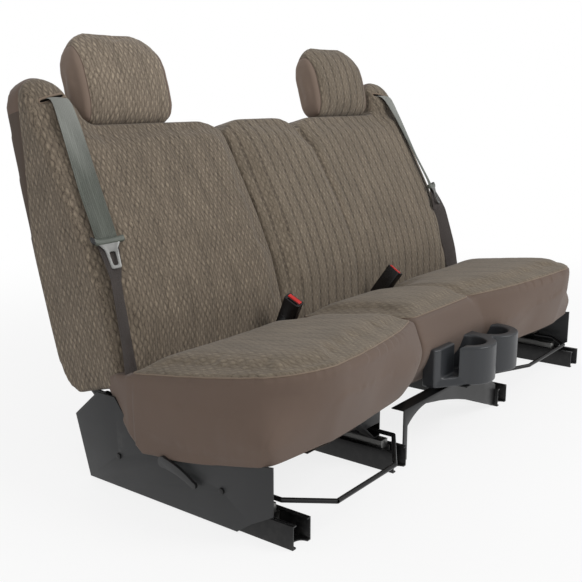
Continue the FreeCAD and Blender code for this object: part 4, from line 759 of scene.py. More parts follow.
def seamHeight(y):
    # the top panel is sewn to the skirt on one sloping plane; y and the result are in millimetres
    return cushion["seamRear"] + cushion["seamSlope"] * (cushion["rear"] - y)


def hemHeight(x, y):
    # the lower edge of the skirt in millimetres, higher where it passes over the track bridge
    lift = hem["bridgeLift"] * (1 - between(np.abs(x), *hem["bridgeSide"])) * between(y, *hem["bridgeFront"])
    return lineAt(hemLine, y) + lift


def squareHem(mesh):
    # the skirt opens out to a nearly square corner at its hem
    places = corners(mesh)
    x, y, z = places.T / mm
    awayX = np.maximum(np.abs(x) - hem["cornerX"], 0) / hem["reachX"]
    awayY = np.maximum(hem["cornerY"] - y, 0) / hem["reachY"]
    power = hem["square"]
    boxed = np.maximum((awayX ** power + awayY ** power) ** (1 / power), 1e-6)
    stretch = np.where(boxed > 1e-5, np.hypot(awayX, awayY) / boxed, 1) - 1
    low = between(-z, *hem["low"])
    places[:, 0] += np.sign(x) * awayX * hem["reachX"] * stretch * low * mm
    places[:, 1] -= awayY * hem["reachY"] * stretch * low * mm
    # and its side hangs flat outside the shield
    x, y, z = places.T / mm
    steps = np.arange(-240, 130, 15)
    foot, shoulder = hem["sideLevels"]
    reach = [np.abs(x[(np.abs(y - step) < 12) & (z > foot) & (z < shoulder)]).max() for step in steps]
    widen = (hem["side"] - hem["cornerX"]) / (np.array(reach) - hem["cornerX"])
    widen = np.clip(widen, 1, hem["widest"]) - 1
    share = np.interp(y, steps, widen, right=0) * low
    outer = np.maximum(np.abs(x) - hem["cornerX"], 0)
    places[:, 0] += np.sign(x) * outer * share * mm
    setCorners(mesh, places)


def cushionBlock(name):
    # the cushion as cut foam: plan, crowned top, tucked front and the flap at its rear corner
    sign = sides[name]
    outline = walk(planPath(name), cushion["step"])
    bm = bmesh.new()
    topFace = bm.faces.new([bm.verts.new((x * mm, y * mm, cushion["base"] * mm)) for x, y in outline])
    for count, height in enumerate((*cushion["floors"], None)):
        topFace = raiseFace(bm, topFace, count == 0)
        for vert in topFace.verts:
            vert.co.z = (height or seamHeight(vert.co.y / mm)) * mm
    low, high = outline.min(axis=0) * mm, outline.max(axis=0) * mm
    tops = [topFace]
    for axis in (0, 1):
        tops = cutEvenly(bm, tops, axis, low[axis], high[axis], cushion["grid"])
    inside = sorted({v for f in tops for v in f.verts}, key=lambda v: (v.co.x, v.co.y))
    places = np.array([(v.co.x, v.co.y) for v in inside]) / mm
    reach = np.clip(rimDistance(places, outline) / cushion["crownReach"], 0, 1)
    for vert, (x, y), share in zip(inside, places, reach):
        vert.co.z = (seamHeight(y) + cushion["crown"] * (1 - (1 - share) ** 2)) * mm
    bmesh.ops.recalc_face_normals(bm, faces=bm.faces)
    for vert in bm.verts:
        drop = (cushion["tuckTop"] - vert.co.z / mm) / (cushion["tuckTop"] - cushion["tuckBase"])
        drop = min(max(drop, 0.0), 1.2)
        # the front tucks in below its shoulder
        share = float(between(-vert.co.y / mm, *cushion["frontTuck"]))
        vert.co.y += cushion["tuck"] * drop * share * mm
        # the narrow middle stands further forward at half height
        narrow = 1 - float(between(abs(vert.co.x) / mm, cushion["bulgeInner"], cushion["bulgeOuter"]))
        height = np.interp(vert.co.z / mm, *zip(*bulgeLine))
        vert.co.y -= cushion["bulge"] * narrow * height * share * mm
    # the skirt carries on round the rear outer corner as a soft flap
    side = sign * (cushion["side"] - 1) * mm
    outer = [bm.verts.new((side, y * mm, z * mm)) for y, z in walk(flap["path"], 12)]
    inner = list(raiseFace(bm, bm.faces.new(outer), True).verts)
    for vert in inner:
        vert.co.x -= sign * flap["thick"]
    for vert in outer + inner:
        past = max(0.0, vert.co.y / mm - flap["curlFrom"])
        vert.co.x -= sign * flap["curl"] * past ** 2 / flap["curlReach"] ** 2
    bmesh.ops.recalc_face_normals(bm, faces=list({f for v in outer + inner for f in v.link_faces}))
    return stand(name + "Cushion", bm)


def makeCushion(name):
    sign = sides[name]
    piece = cushionBlock(name)
    buckleX = sign * sum(buckleNotch[name]) / 2

    def hold(places):
        # the top may swell most, the skirt little, and the inner side and rear hardly at all
        x, y, z = (places / mm).T
        free = 0.25 + 0.75 * between(z, *cushion["freeTop"])
        free *= 0.06 + 0.94 * between(np.abs(x + splitX), *cushion["freeInner"])
        free *= 0.05 + 0.95 * between(cushion["rear"] - y, *cushion["freeRear"])
        fromBuckle = np.hypot(x - buckleX, y - cushion["buckleY"])
        return free * (0.1 + 0.9 * between(fromBuckle, *cushion["freeBuckle"]))

    swell(piece, cushion, hold)
    mesh = piece.data
    squareHem(mesh)
    seamPoint = Vector((0, cushion["rear"] * mm, cushion["seamRear"] * mm))
    seamUp = Vector((0, cushion["seamSlope"], 1)).normalized()

    def shaping(places, normals):
        x, y, z = (places / mm).T
        fromSeam = (places - np.array(seamPoint)) @ np.array(seamUp) / mm
        depth = groove(fromSeam, 4.5, 0.0022)
        top = between(fromSeam, 4, 14) * between(normals[:, 2], 0.5, 0.8)
        depth += ribGroove(x, 3.2, cushion["ribDepth"]) * top
        if sign > 0:
            # the crease between the centre section and the wide seat
            crease = groove(x - sectionX - 0.04 * (y - cushion["rear"]), 16, 0.007)
            depth += crease * between(fromSeam, -30, 10)
        # slack in the plain side cloth
        depth += 0.0012 * np.sin(x / 61 + y / 47) * np.sin(z / 37 + x / 90) * between(-fromSeam, 5, 40)
        return depth

    pressIn(mesh, shaping)
    bm = bmesh.new()
    bm.from_mesh(mesh)
    loops = edgeLoops(cutOnSurface(bm, seamPoint, seamUp))
    cutOnSurface(bm, Vector((0, 0, 0)), Vector((0, 0, 1)),
                 lambda place: Vector((0, 0, -hemHeight(place.x / mm, place.y / mm) * mm)))
    gone = []
    for face in bm.faces:
        middle = face.calc_center_median()
        face.material_index = 0 if (middle - seamPoint).dot(seamUp) > 0 else 1
        x, y, z = middle / mm
        if z < hemHeight(x, y):
            gone.append(face)
    bmesh.ops.delete(bm, geom=gone, context="FACES")
    bm.to_mesh(mesh)
    bm.free()
    clothMap(mesh, lambda normals, places: (
        np.where(np.abs(normals[:, 2]) > 0.55, places[:, 0],
                 np.where(np.abs(normals[:, 0]) > 0.7, places[:, 1], places[:, 0])),
        np.where(np.abs(normals[:, 2]) > 0.55, places[:, 1], places[:, 2])))
    giveWall(piece, cushion["clothWall"])
    wear(piece, "tweedSeat", "plain")
    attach(piece, name + "_seat")
    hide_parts(name + "_cushion_cover", name + "_cushion_foam", name + "_cushion_skirt")
    # the seam bead takes the lighter cord cloth, a painted highlight along the seam
    cordAlong(name + "CushionPiping", evened(max(loops, key=len)), 0.0016, "highlightPiping", name + "_seat")


def makeUnderside(name):
    # backing cloth that closes the cushion below its foam
    outline = walk(planPath(name), 14)
    middle = outline.mean(axis=0)
    bm = bmesh.new()
    ring = []
    for x, y in outline:
        share = float(between(-y, *cushion["frontTuck"]))
        x = middle[0] + (x - middle[0]) * 0.985
        y = middle[1] + (y - middle[1]) * 0.975 + cushion["tuck"] * 0.75 * share
        ring.append(bm.verts.new((x * mm, y * mm, cushion["underside"])))
    face = bm.faces.new(ring)
    bmesh.ops.inset_individual(bm, faces=[face], thickness=0.012, depth=0.003, use_even_offset=True)
    bmesh.ops.recalc_face_normals(bm, faces=bm.faces)
    piece = stand(name + "CushionUnderside", bm)
    giveWall(piece, cushion["undersideWall"])
    wear(piece, "backing")
    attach(piece, name + "_seat")


for name in sides:
    makeCushion(name)
    makeUnderside(name)


print("backs")
back = {
    "voxel": 0.0072, "rounding": 5, "pressure": 4.0, "frames": 20, "cap": 0.014,
    "side": 744, "foot": 26, "lobeTop": 607, "towerTop": 726,
    "ribDepth": 0.0010, "recessEdge": 712, "recessRear": 91, "recessFoot": (60, 110), "recessRim": 55,
    "crown": 11, "crownReach": 55, "hollow": 2, "hollowReach": 150, "step": 11, "grid": 0.02,
    # in millimetres, from where the cloth is held to where it is free
    "freeInner": (5, 50), "freeSide": (5, 60), "freeFoot": (60, 160), "freeLobe": (4, 40), "tied": (40, 80),
}
frontLine = np.array([(24, -80), (100, -84), (180, -86), (230, -85), (335, -70), (500, -33), (600, -6),
                      (660, 4), (700, 16), (726, 34)], float)
rearLine = np.array([(24, 70), (50, 104), (100, 118), (180, 122), (300, 121), (500, 111), (600, 103),
                     (700, 92), (726, 74)], float)
# where the woven cover meets the plain cloth behind it
bandLine = np.array([(24, 64), (50, 98), (100, 112), (180, 116), (300, 115), (400, 104), (560, 68),
                     (668, 48), (726, 42)], float)
beltSlot = {
    "inner": (643, 675), "outer": (712, 660), "edge": (748, 649), "lip": 0.0026, "gap": 4.4,
    "pressed": (5.5, 0.011), "seam": (3.5, 0.002),
}


def toSegment(points, first, last):
    # distance from each point to the line between two points in the same plane
    first, last = np.array(first, float), np.array(last, float)
    share = np.clip((points - first) @ (last - first) / (last - first).dot(last - first), 0, 1)
    return np.linalg.norm(points - first - share[:, None] * (last - first), axis=1)


def backPath(name):
    sign = sides[name]
    side, foot = back["side"], back["foot"]
    inner = splitX if sign < 0 else splitGap - splitX
    path = [(side, foot), (side, 660), ("by", 728, 706), (690, 725), ("by", 650, 711), (631, 680),
            (609, 636), ("by", 597, 614), (570, back["lobeTop"]), (250, back["lobeTop"]), ("by", 197, 596)]
    if sign < 0:
        path.append((inner, 572))
    else:
        path += [(sectionX, 570), ("by", 127, 596), (70, 609), (-70, 609), ("by", -127, 596), (inner, 572)]
    path.append((inner, foot))
    return onSide(path, sign)


def backBlock(name):
    # the back as cut foam, upright: its outline, its leaning front and its recessed rear
    outline = walk(backPath(name), back["step"])
    bm = slab(outline)
    lowX, highX = outline[:, 0].min() * mm, outline[:, 0].max() * mm
    cutEvenly(bm, list(bm.faces), 2, back["foot"] * mm, back["towerTop"] * mm, back["grid"])
    front = [f for f in bm.faces if all(v.co.y < 0.5 for v in f.verts)]
    cutEvenly(bm, front, 0, lowX, highX, back["grid"])
    verts = list(bm.verts)
    places = np.array([(v.co.x, v.co.z) for v in verts]) / mm
    for vert, (x, z), rim in zip(verts, places, rimDistance(places, outline)):
        fore, aft = lineAt(frontLine, z), lineAt(rearLine, z)
        # the rear panel lies in a shallow recess between the rolled outer edges
        recess = float(between(back["recessEdge"] - abs(x), 0, back["recessRim"]))
        recess *= float(between(z, *back["recessFoot"]))
        aft -= max(aft - back["recessRear"], 0) * recess
        if vert.co.y < 0.5:
            # the front is crowned, and falls away towards its own edges
            crown = back["crown"] * (1 - min(rim / back["crownReach"], 1)) ** 2
            vert.co.y = (fore + crown - back["hollow"] * min(rim / back["hollowReach"], 1)) * mm
        else:
            vert.co.y = (aft - 1.5 * (1 - min(rim / 20, 1)) ** 2) * mm
    bmesh.ops.recalc_face_normals(bm, faces=bm.faces)
    return stand(name + "Back", bm)


def makeSlotLips(name, piece):
    # the folded lips of the belt slot, laid on the front of the back
    sign = sides[name]
    inner, outer = np.array(beltSlot["inner"], float), np.array(beltSlot["outer"], float)
    run = (outer - inner) / np.linalg.norm(outer - inner)
    side = np.array([-run[1], run[0]]) * (beltSlot["gap"] + 0.8)
    lip = [inner + side, outer + side, ("by", *(outer + run * 6)), outer - side, inner - side,
           ("by", *(inner - run * 6))]
    line = []
    ahead = (leaned.to_3x3() @ Vector((0, 1, 0))).normalized()
    for u, z in walk(lip, 4):
        start = leaned @ Vector((u * sign * mm, -0.3, z * mm))
        place, normal = piece.ray_cast(start, ahead)[1:3]
        line.append(place + normal * 0.0006)
    # the lips take the lighter cord cloth, a painted highlight on the slot's edge
    lips = cordAlong(name + "BeltSlotLips", evened(line, 2), beltSlot["lip"], "highlightPiping", name + "_back")
    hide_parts(name + "_belt_bezel")


def makeBack(name):
    sign = sides[name]
    piece = backBlock(name)

    def hold(places):
        x, y, z = (places / mm).T
        free = 0.08 + 0.92 * between(np.abs(x + splitX), *back["freeInner"])
        free *= 0.10 + 0.90 * between(back["side"] - np.abs(x), *back["freeSide"])
        free *= 0.15 + 0.85 * between(z, *back["freeFoot"])
        free *= 1 - 0.85 * between(y, *back["tied"])
        # the flat lobe tops meet the headrests
        return free * (0.12 + 0.88 * between(np.abs(z - back["lobeTop"]), *back["freeLobe"]))

    swell(piece, back, hold, lambda places: places[:, 1] < 60)
    mesh = piece.data

    def shaping(places, normals):
        x, y, z = (places / mm).T
        ahead = between(-normals[:, 1], 0.45, 0.75)
        depth = ribGroove(x, 3.4, back["ribDepth"]) * ahead * between(z, 30, 60)
        # the sewn edge between the woven cover and the plain rear cloth
        sewn = groove(y - lineAt(bandLine, z), 3.5, 0.0016)
        depth += sewn * between(np.abs(normals[:, 1]), 1.0, 0.6) * between(z, 380, 470)
        # the slot that the belt comes out of, and the seam from it to the edge
        front = np.stack([np.abs(x), z], axis=1)
        facingOut = between(-normals[:, 1], 0.0, 0.4)
        for first, last, cut in (("inner", "outer", "pressed"), ("outer", "edge", "seam")):
            away = toSegment(front, beltSlot[first], beltSlot[last])
            depth += groove(away, *beltSlot[cut]) * facingOut
        if sign > 0:
            # the crease beside the centre section
            fade = 0.25 + 0.75 * between(z, 150, 560)
            depth += groove(x - sectionX - 0.02 * (600 - z), 15, 0.011) * fade * ahead
        return depth

    pressIn(mesh, shaping)
    bm = bmesh.new()
    bm.from_mesh(mesh)
    cutOnSurface(bm, Vector((0, 0, 0)), Vector((0, 1, 0)),
                 lambda place: Vector((0, -lineAt(bandLine, place.z / mm) * mm, 0)))
    for face in bm.faces:
        middle = face.calc_center_median() / mm
        behind = middle.y > lineAt(bandLine, middle.z)
        # behind the band, the tower top takes the plain cloth and lower down its darker copy, painted shade
        face.material_index = (1 if middle.z > 650 else 3) if behind else 0
        toSlot = toSegment(np.array([[abs(middle.x), middle.z]]), beltSlot["inner"], beltSlot["outer"])[0]
        # the faces in the belt slot take the near-black cloth, painted shade
        if middle.y < 60 and toSlot < beltSlot["gap"]:
            face.material_index = 2
    bm.to_mesh(mesh)
    bm.free()
    # the weave is carried on round the side and over the top
    clothMap(mesh, lambda normals, places: (
        np.where(np.abs(normals[:, 0]) > 0.72, places[:, 1] + 0.9, places[:, 0]),
        np.where(np.abs(normals[:, 2]) > 0.72, -places[:, 1] + 0.61, places[:, 2])))
    mesh.transform(leaned)
    wear(piece, "tweedNear" if sign < 0 else "tweedFar", "plain", "hollow", "shadedRearCloth")
    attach(piece, name + "_back")
    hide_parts(name + "_back_cover", name + "_back_foam", name + "_back_rear_panel")
    makeSlotLips(name, piece)


for name in sides:
    makeBack(name)


print("belts")
belt = {
    "width": 48, "thickness": 1.3, "arch": 1.5,
    "line": [(673, 34, 668), (673, 6, 669), (674, -11, 662), (681, -31, 590), (694, -61, 450),
             (702, -86, 352), (703, -89, 330), (706, -95, 290), (712, -98, 240), (721, -98, 130),
             (724, -92, 40), (724, -88, -6)],
    "twist": [(20, -14), (110, -24), (250, -24), (290, -5), (330, 14), (352, 20), (450, 22), (600, 10),
              (655, 0)],
}
beltTongue = {
    "u": 702.8, "y": -91, "z": 335, "tilt": 9, "turn": 16,
    "grip": 74, "gripThick": 0.013, "gripHigh": 0.014, "curlFrom": 0.62, "curl": 0.009, "sag": 0.0015,
    "plate": 2.4, "plateRear": -0.0045,
}


def alongLine(points):
    # how far along a line of points each one lies
    return np.concatenate([[0], np.cumsum(np.linalg.norm(np.diff(points, axis=0), axis=1))])


def makeWebbing(name):
    stations = np.array(belt["line"], float)
    length = alongLine(stations)
    total = length[-1]
    knots = np.linspace(0, total, 90)
    smooth = np.stack([np.interp(knots, length, stations[:, i]) for i in range(3)], axis=1)
    for _ in range(6):
        smooth[1:-1] = 0.5 * smooth[1:-1] + 0.25 * (smooth[:-2] + smooth[2:])

    def beltAt(along):
        return np.array([np.interp(along, knots, smooth[:, i]) for i in range(3)])

    bm = bmesh.new()
    bmesh.ops.create_grid(bm, x_segments=8, y_segments=150, size=0.5)
    layer = bm.loops.layers.uv.new("cloth")
    flat = {vert: (vert.co.x, (vert.co.y + 0.5) * total) for vert in bm.verts}
    for vert, (across, along) in flat.items():
        place = beltAt(along)
        down = beltAt(min(along + 4, total)) - beltAt(max(along - 4, 0))
        down /= np.linalg.norm(down)
        outward = np.array([1.0, 0, 0]) - down * down[0]
        outward /= np.linalg.norm(outward)
        fore = np.cross(outward, down)
        fore *= -np.sign(fore[1])
        turn = math.radians(np.interp(place[2], *zip(*belt["twist"])))
        wide = outward * math.cos(turn) - fore * math.sin(turn)
        arch = fore * (belt["arch"] * (0.25 - across * across) * 4)
        x, y, z = place + wide * across * belt["width"] + arch
        vert.co = (x * sides[name] * mm, y * mm, z * mm)
    for face in bm.faces:
        # the webbing below the tongue takes the darker copy, painted shade
        face.material_index = int(face.calc_center_median().z / mm < beltTongue["z"] - 4)
        for loop in face.loops:
            across, along = flat[loop.vert]
            loop[layer].uv = (across * belt["width"] * mm, along * mm)
    piece = stand(name + "Webbing", bm)
    piece.data.transform(leaned)
    giveWall(piece, belt["thickness"] * mm, 0)
    settle(piece)
    roundShade(piece.data, 50)
    wear(piece, "webbing", "shadedWebbing")
    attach(piece, nodes[name + "_belt_webbing"]["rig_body"])
    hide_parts(name + "_belt_webbing")


def ringOf(half, count):
    # evenly spaced points around a closed path, drawn for one half and mirrored for the other
    line = walk(half + onSide(half[:0:-1], -1), 0.5)
    closed = np.vstack([line, line[:1]])
    length = alongLine(closed)
    spots = np.linspace(0, length[-1], count, endpoint=False)
    return np.stack([np.interp(spots, length, closed[:, i]) for i in range(2)], axis=1)


def roundEdges(bm, angle, width, segments):
    # the rounding leaves out what turns by less than the angle
    edges = [e for e in bm.edges if len(e.link_faces) == 2 and e.calc_face_angle(0) > angle]
    bmesh.ops.bevel(bm, geom=edges, offset=width, segments=segments, profile=0.5, offset_type="OFFSET",
                    affect="EDGES", clamp_overlap=True, material=-1)


def makeGrip(name, hung):
    # the moulded grip on the webbing
    sign = sides[name]
    size = (beltTongue["grip"] * mm, beltTongue["gripThick"], beltTongue["gripHigh"])
    bm = bmesh.new()
    bmesh.ops.create_cube(bm, size=1.0)
    for vert in bm.verts:
        vert.co = [at * reach for at, reach in zip(vert.co, size)]
    long = [e for e in bm.edges if abs(e.verts[0].co.x - e.verts[1].co.x) > 0.01]
    bmesh.ops.subdivide_edges(bm, edges=long, cuts=11)
    roundEdges(bm, 1.0, 0.004, 4)
    half = size[0] / 2
    curlFrom = beltTongue["curlFrom"]
    for vert in bm.verts:
        # narrow and slightly sagging towards the middle, with the outer end curled up
        share = vert.co.x * sign / half
        vert.co.z *= 0.86 + 0.14 * abs(share)
        vert.co.z += (beltTongue["curl"] * max(0.0, share - curlFrom) ** 1.5 / (1 - curlFrom) ** 1.5
                      - beltTongue["sag"] * (1 - share * share))
    bmesh.ops.recalc_face_normals(bm, faces=bm.faces)
    for face in bm.faces:
        face.material_index = int(face.calc_center_median().x * sign > half * 0.84)
    grip = stand(name + "TongueGrip", bm)
    grip.data.transform(hung)
    roundShade(grip.data, 50)
    wear(grip, "grip", "trim")
    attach(grip, nodes[name + "_belt_tongue"]["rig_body"])


def makePlate(name, hung):
    # the steel plate with the window that the buckle holds
    outer = ringOf([(0, 2), (23, 2), (24, -7), (15, -20), (12, -56), ("by", 10.6, -60.6), (6, -62)], 96)
    inner = ringOf([(0, -25), (3, -25), ("by", 5.9, -26.1), (7, -29), (6, -51), ("by", 4.9, -53.9),
                    (2, -55)], 96)
    bm = bmesh.new()
    edges = []
    for ring in (outer, inner):
        verts = [bm.verts.new((x * mm, beltTongue["plateRear"], z * mm)) for x, z in ring]
        edges += [bm.edges.new((a, b)) for a, b in zip(verts, verts[1:] + verts[:1])]
    bmesh.ops.bridge_loops(bm, edges=edges)
    raised = bmesh.ops.extrude_face_region(bm, geom=list(bm.faces), use_keep_orig=True)
    for vert in ofKind(raised["geom"], bmesh.types.BMVert):
        vert.co.y += beltTongue["plate"] * mm
    bmesh.ops.recalc_face_normals(bm, faces=bm.faces)
    roundEdges(bm, 1.2, 0.0006, 2)
    plate = stand(name + "TonguePlate", bm)
    plate.data.transform(hung)
    roundShade(plate.data, 40)
    wear(plate, "tongueSteel")
    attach(plate, nodes[name + "_belt_tongue"]["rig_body"])
    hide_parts(name + "_belt_tongue")


for name, sign in sides.items():
    makeWebbing(name)
    hung = (leaned
            @ Matrix.Translation((beltTongue["u"] * sign * mm, beltTongue["y"] * mm, beltTongue["z"] * mm))
            @ Matrix.Rotation(math.radians(beltTongue["turn"] * sign), 4, "Z")
            @ Matrix.Rotation(math.radians(-beltTongue["tilt"]), 4, "X"))
    makeGrip(name, hung)
    makePlate(name, hung)


print("headrests")
headrest = {
    "voxel": 0.0055, "rounding": 4, "pressure": 4.0, "frames": 16, "cap": 0.007,
    "middle": 449, "half": 141, "foot": 607, "top": 833, "panel": 16, "ribDepth": 0.0008,
    "pull": 12, "pullReach": 48, "freeFoot": (4, 50), "seam": (3.5, 0.0016),
    # height above the foot, front, rear
    "profile": [(0, 24, 74), (6, 15, 84), (45, 4, 90), (90, 0, 91), (130, 1, 90), (163, 7, 84),
                (190, 17, 73), (226, 32, 60)],
}


def headrestBlock(name):
    low, high = headrest["middle"] - headrest["half"], headrest["middle"] + headrest["half"]
    foot, top = headrest["foot"], headrest["top"]
    path = [(low, foot + 45), (low, top - 84), ("by", low + 24, top - 24), (low + 80, top),
            (high - 80, top), ("by", high - 24, top - 24), (high, top - 84), (high, foot + 45),
            ("by", high - 11, foot + 11), (high - 42, foot), (low + 42, foot), ("by", low + 11, foot + 11)]
    outline = walk(onSide(path, sides[name]), 9)
    levels, fore, aft = np.array(headrest["profile"], float).T
    bm = slab(outline)
    lowX, highX = outline[:, 0].min() * mm, outline[:, 0].max() * mm
    cutEvenly(bm, list(bm.faces), 2, foot * mm, top * mm, 0.014)
    cutEvenly(bm, [f for f in bm.faces if abs(f.normal.z) < 0.9], 0, lowX, highX, 0.016)
    verts = list(bm.verts)
    places = np.array([(v.co.x, v.co.z) for v in verts]) / mm
    for vert, (x, z), rim in zip(verts, places, rimDistance(places, outline)):
        pull = headrest["pull"] * (1 - min(rim / headrest["pullReach"], 1)) ** 2
        if vert.co.y < 0.5:
            vert.co.y = (np.interp(z, levels + foot, fore) + pull) * mm
        else:
            vert.co.y = (np.interp(z, levels + foot, aft) - pull) * mm
    bmesh.ops.recalc_face_normals(bm, faces=bm.faces)
    return stand(name + "Headrest", bm)


def makeHeadrest(name):
    sign = sides[name]
    piece = headrestBlock(name)

    def hold(places):
        held, free = (headrest["foot"] + height for height in headrest["freeFoot"])
        return 0.1 + 0.9 * between(places[:, 2] / mm, held, free)

    swell(piece, headrest, hold)
    mesh = piece.data
    inset = headrest["half"] - headrest["panel"]
    seams = [headrest["middle"] - inset, headrest["middle"] + inset]

    def shaping(places, normals):
        u = np.abs(places[:, 0] / mm)
        depth = sum(groove(u - seam, *headrest["seam"]) for seam in seams)
        betweenSeams = (u > seams[0] + 4) & (u < seams[1] - 4)
        ribs = ribGroove(places[:, 0] / mm, 3.2, headrest["ribDepth"])
        return depth + ribs * betweenSeams * between(-normals[:, 1], 0.2, 0.6)

    pressIn(mesh, shaping)
    bm = bmesh.new()
    bm.from_mesh(mesh)
    loops = [edgeLoops(cutOnSurface(bm, Vector((seam * sign * mm, 0, 0)), Vector((1, 0, 0))))[0]
             for seam in seams]
    for face in bm.faces:
        u = abs(face.calc_center_median().x) / mm
        face.material_index = 0 if seams[0] < u < seams[1] else 1
    bm.to_mesh(mesh)
    bm.free()
    clothMap(mesh, lambda normals, places: (
        np.where(np.abs(normals[:, 0]) > 0.8, places[:, 1], places[:, 0]),
        np.where(np.abs(normals[:, 2]) > 0.75, -places[:, 1] + 0.82, places[:, 2])))
    mesh.transform(leaned)
    # the near headrest wears the lighter copy of the near tweed, painted light
    wear(piece, "litTweedHead" if sign < 0 else "tweedFar", "panel")
    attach(piece, name + "_headrest")
    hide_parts(name + "_headrest_cover", name + "_headrest_foam", name + "_headrest_side_panels")
    for tag, loop in zip(("Inner", "Outer"), loops):
        line = np.array([leaned @ Vector(p) for p in evened(loop, 2)])
        cordAlong(name + "Headrest" + tag + "Seam", line, 0.0011, "plain", name + "_headrest")


for name in sides:
    makeHeadrest(name)


print("hard pieces")
# node, piece, finish, edge rounding, its segments, slot
sidePieces = [
    ("side_shield", "Shield", "shield", 0.0015, 3, "shield_plastic"),
    ("recline_lever", "Lever", "trim", 0.0015, 3, "trim_plastic"),
    ("shield_screws", "ShieldScrews", "paint", 0.0006, 2, "black_steel"),
    ("adjuster_bar", "AdjusterBar", "paint", 0, 2, "black_steel"),
    ("seat_pan", "SeatPan", "paint", 0.0008, 2, "black_steel"),
    ("recliner_brackets", "Recliner", "paint", 0.0008, 2, "black_steel"),
    ("upper_tracks", "UpperRails", "steel", 0.0006, 2, "rail_steel"),
    ("back_frame", "BackFrame", "paint", 0.001, 2, "black_steel"),
    ("headrest_guides", "HeadrestGuides", "trim", 0.0008, 2, "trim_plastic"),
    ("headrest_posts", "HeadrestPosts", "bright", 0.001, 2, "post_chrome"),
    ("belt_retractor", "BeltReel", "steel", 0.0015, 2, "rail_steel"),
    ("belt_anchor", "BeltAnchor", "paint", 0.0006, 2, "black_steel"),
    ("buckle_housing", "BuckleHousing", "buckle", 0.0012, 2, "buckle_plastic"),
    ("buckle_button", "BuckleButton", "button", 0.0016, 3, "button_plastic"),
    ("buckle_stalk", "BuckleStalk", "paint", 0.0006, 2, "black_steel"),
    ("cover_straps", "CoverStraps", "backing", 0.0003, 1, "strap_web"),
]
for name in sides:
    for node, piece, *care in sidePieces:
        dressed(name + "_" + node, name + piece, *care)
cupHolder = {"widen": 0.026, "across": (60, 96), "behind": (-240, -236), "voxel": 0.0022, "rounding": 9}
holder = dressed("cup_holder", "cupHolder", "cup", 0, 2, "cup_plastic")
# a wide rounded shoulder behind the handle slot, and soft moulded edges all round
places = corners(holder.data)
shoulder = between(-places[:, 0] / mm, *cupHolder["across"])
shoulder *= between(places[:, 1] / mm, *cupHolder["behind"])
places[:, 0] -= shoulder * cupHolder["widen"]
setCorners(holder.data, places)
rounding = holder.modifiers.new("even", "REMESH")
rounding.mode = "VOXEL"
rounding.voxel_size = cupHolder["voxel"]
settle(holder)
softSmooth(holder, cupHolder["rounding"])
roundShade(holder.data)
dressed("cup_holder_bracket", "cupHolderBracket", "paint", 0.0008, 2, "black_steel")
dressed("lower_tracks", "lowerTracks", "paint", 0.0005, 2, "track_steel")
dressed("track_bridge", "trackBridge", "paint", 0.002, 3, "track_steel")


print("studio")
studio = {
    "eye": (-1.9335, -1.1837, 0.83), "heading": 37.336, "dip": 12.588, "lens": 54.85,
    "floorColour": (0.9, 0.9, 0.9, 1), "skyStrength": 0.5, "floorShow": 0.82, "floorEdge": (1.2, 2.8),
    "lampsFace": (0, 0.1, 0.4),
    "lamps": [("keyLamp", (1.2, -3.0, 2.7), 2.2, 66.0), ("fillLamp", (-2.8, -1.6, 2.2), 2.4, 20.0),
              ("rearLamp", (0.4, 3.0, 2.6), 2.6, 24.0)],
}


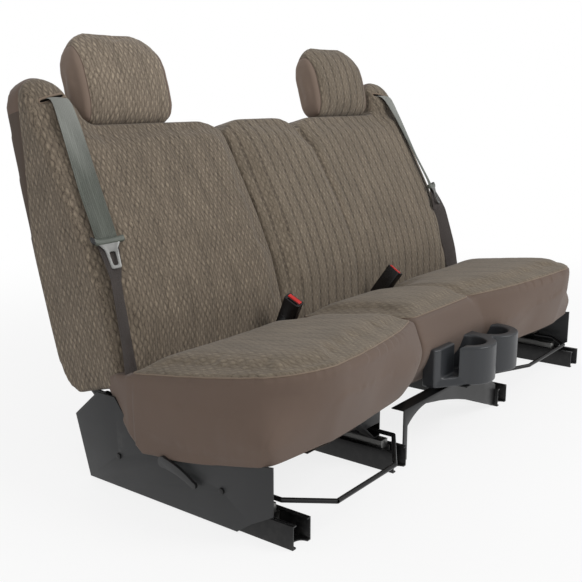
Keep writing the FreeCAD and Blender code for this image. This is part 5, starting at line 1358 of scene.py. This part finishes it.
def makeFloor():
    # pale and shaded near the seat, and plain white further off
    bm = bmesh.new()
    bmesh.ops.create_circle(bm, cap_ends=True, cap_tris=False, segments=96, radius=14.0)
    ground = stand("studioFloor", bm)
    ground.location = (0, 0, -0.0005)
    material, tree, shader = startMaterial("paleFloor", **{
        "Base Color": studio["floorColour"], "Roughness": 0.8, "Specular IOR Level": 0.1})
    glow = addNode(tree, "ShaderNodeEmission", {0: (1, 1, 1, 1), 1: 1.0})
    path = addNode(tree, "ShaderNodeLightPath")
    seen = sums(tree, "MAXIMUM", path.outputs["Is Camera Ray"], path.outputs["Is Glossy Ray"])
    place = addNode(tree, "ShaderNodeTexCoord").outputs["Object"]
    away = addNode(tree, "ShaderNodeVectorMath", {0: place}, operation="LENGTH").outputs["Value"]
    share = sums(tree, "MULTIPLY", seen, ranged(tree, away, *studio["floorEdge"], studio["floorShow"], 1.0))
    plainShader = tree.nodes["Principled BSDF"].outputs[0]
    mix = addNode(tree, "ShaderNodeMixShader", {0: share, 1: plainShader, 2: glow.outputs[0]})
    tree.links.new(mix.outputs[0], tree.nodes["Material Output"].inputs[0])
    ground.data.materials.append(material)


def makeSky():
    # white where the camera sees it, and softer as a light
    world = bpy.data.worlds.new("softStudio")
    scene.world = world
    world.use_nodes = True
    tree = world.node_tree
    sky = tree.nodes["Background"]
    sky.inputs[0].default_value = (1, 1, 1, 1)
    path = addNode(tree, "ShaderNodeLightPath")
    seen = sums(tree, "MAXIMUM", path.outputs["Is Camera Ray"], path.outputs["Is Transmission Ray"])
    extra = sums(tree, "MULTIPLY", seen, 1.0 - studio["skyStrength"])
    tree.links.new(sums(tree, "ADD", extra, studio["skyStrength"]), sky.inputs[1])


def aim(piece, at, way):
    piece.location = at
    piece.rotation_mode = "QUATERNION"
    piece.rotation_quaternion = way.to_track_quat("-Z", "Y")


def makeLampsAndCamera():
    for label, at, size, power in studio["lamps"]:
        lamp = bpy.data.lights.new(label, "AREA")
        lamp.shape = "DISK"
        lamp.size = size
        lamp.energy = power
        aim(show(label, lamp), at, Vector(studio["lampsFace"]) - Vector(at))
    camera = bpy.data.cameras.new("studioCamera")
    camera.lens = studio["lens"]
    camera.sensor_width = 36
    camera.clip_start = 0.05
    heading, dip = math.radians(studio["heading"]), math.radians(studio["dip"])
    forward = Vector((math.cos(heading) * math.cos(dip), math.sin(heading) * math.cos(dip), -math.sin(dip)))
    scene.camera = show("studioCamera", camera)
    aim(scene.camera, studio["eye"], forward)
    scene.view_settings.view_transform = "Standard"


makeFloor()
makeSky()
makeLampsAndCamera()
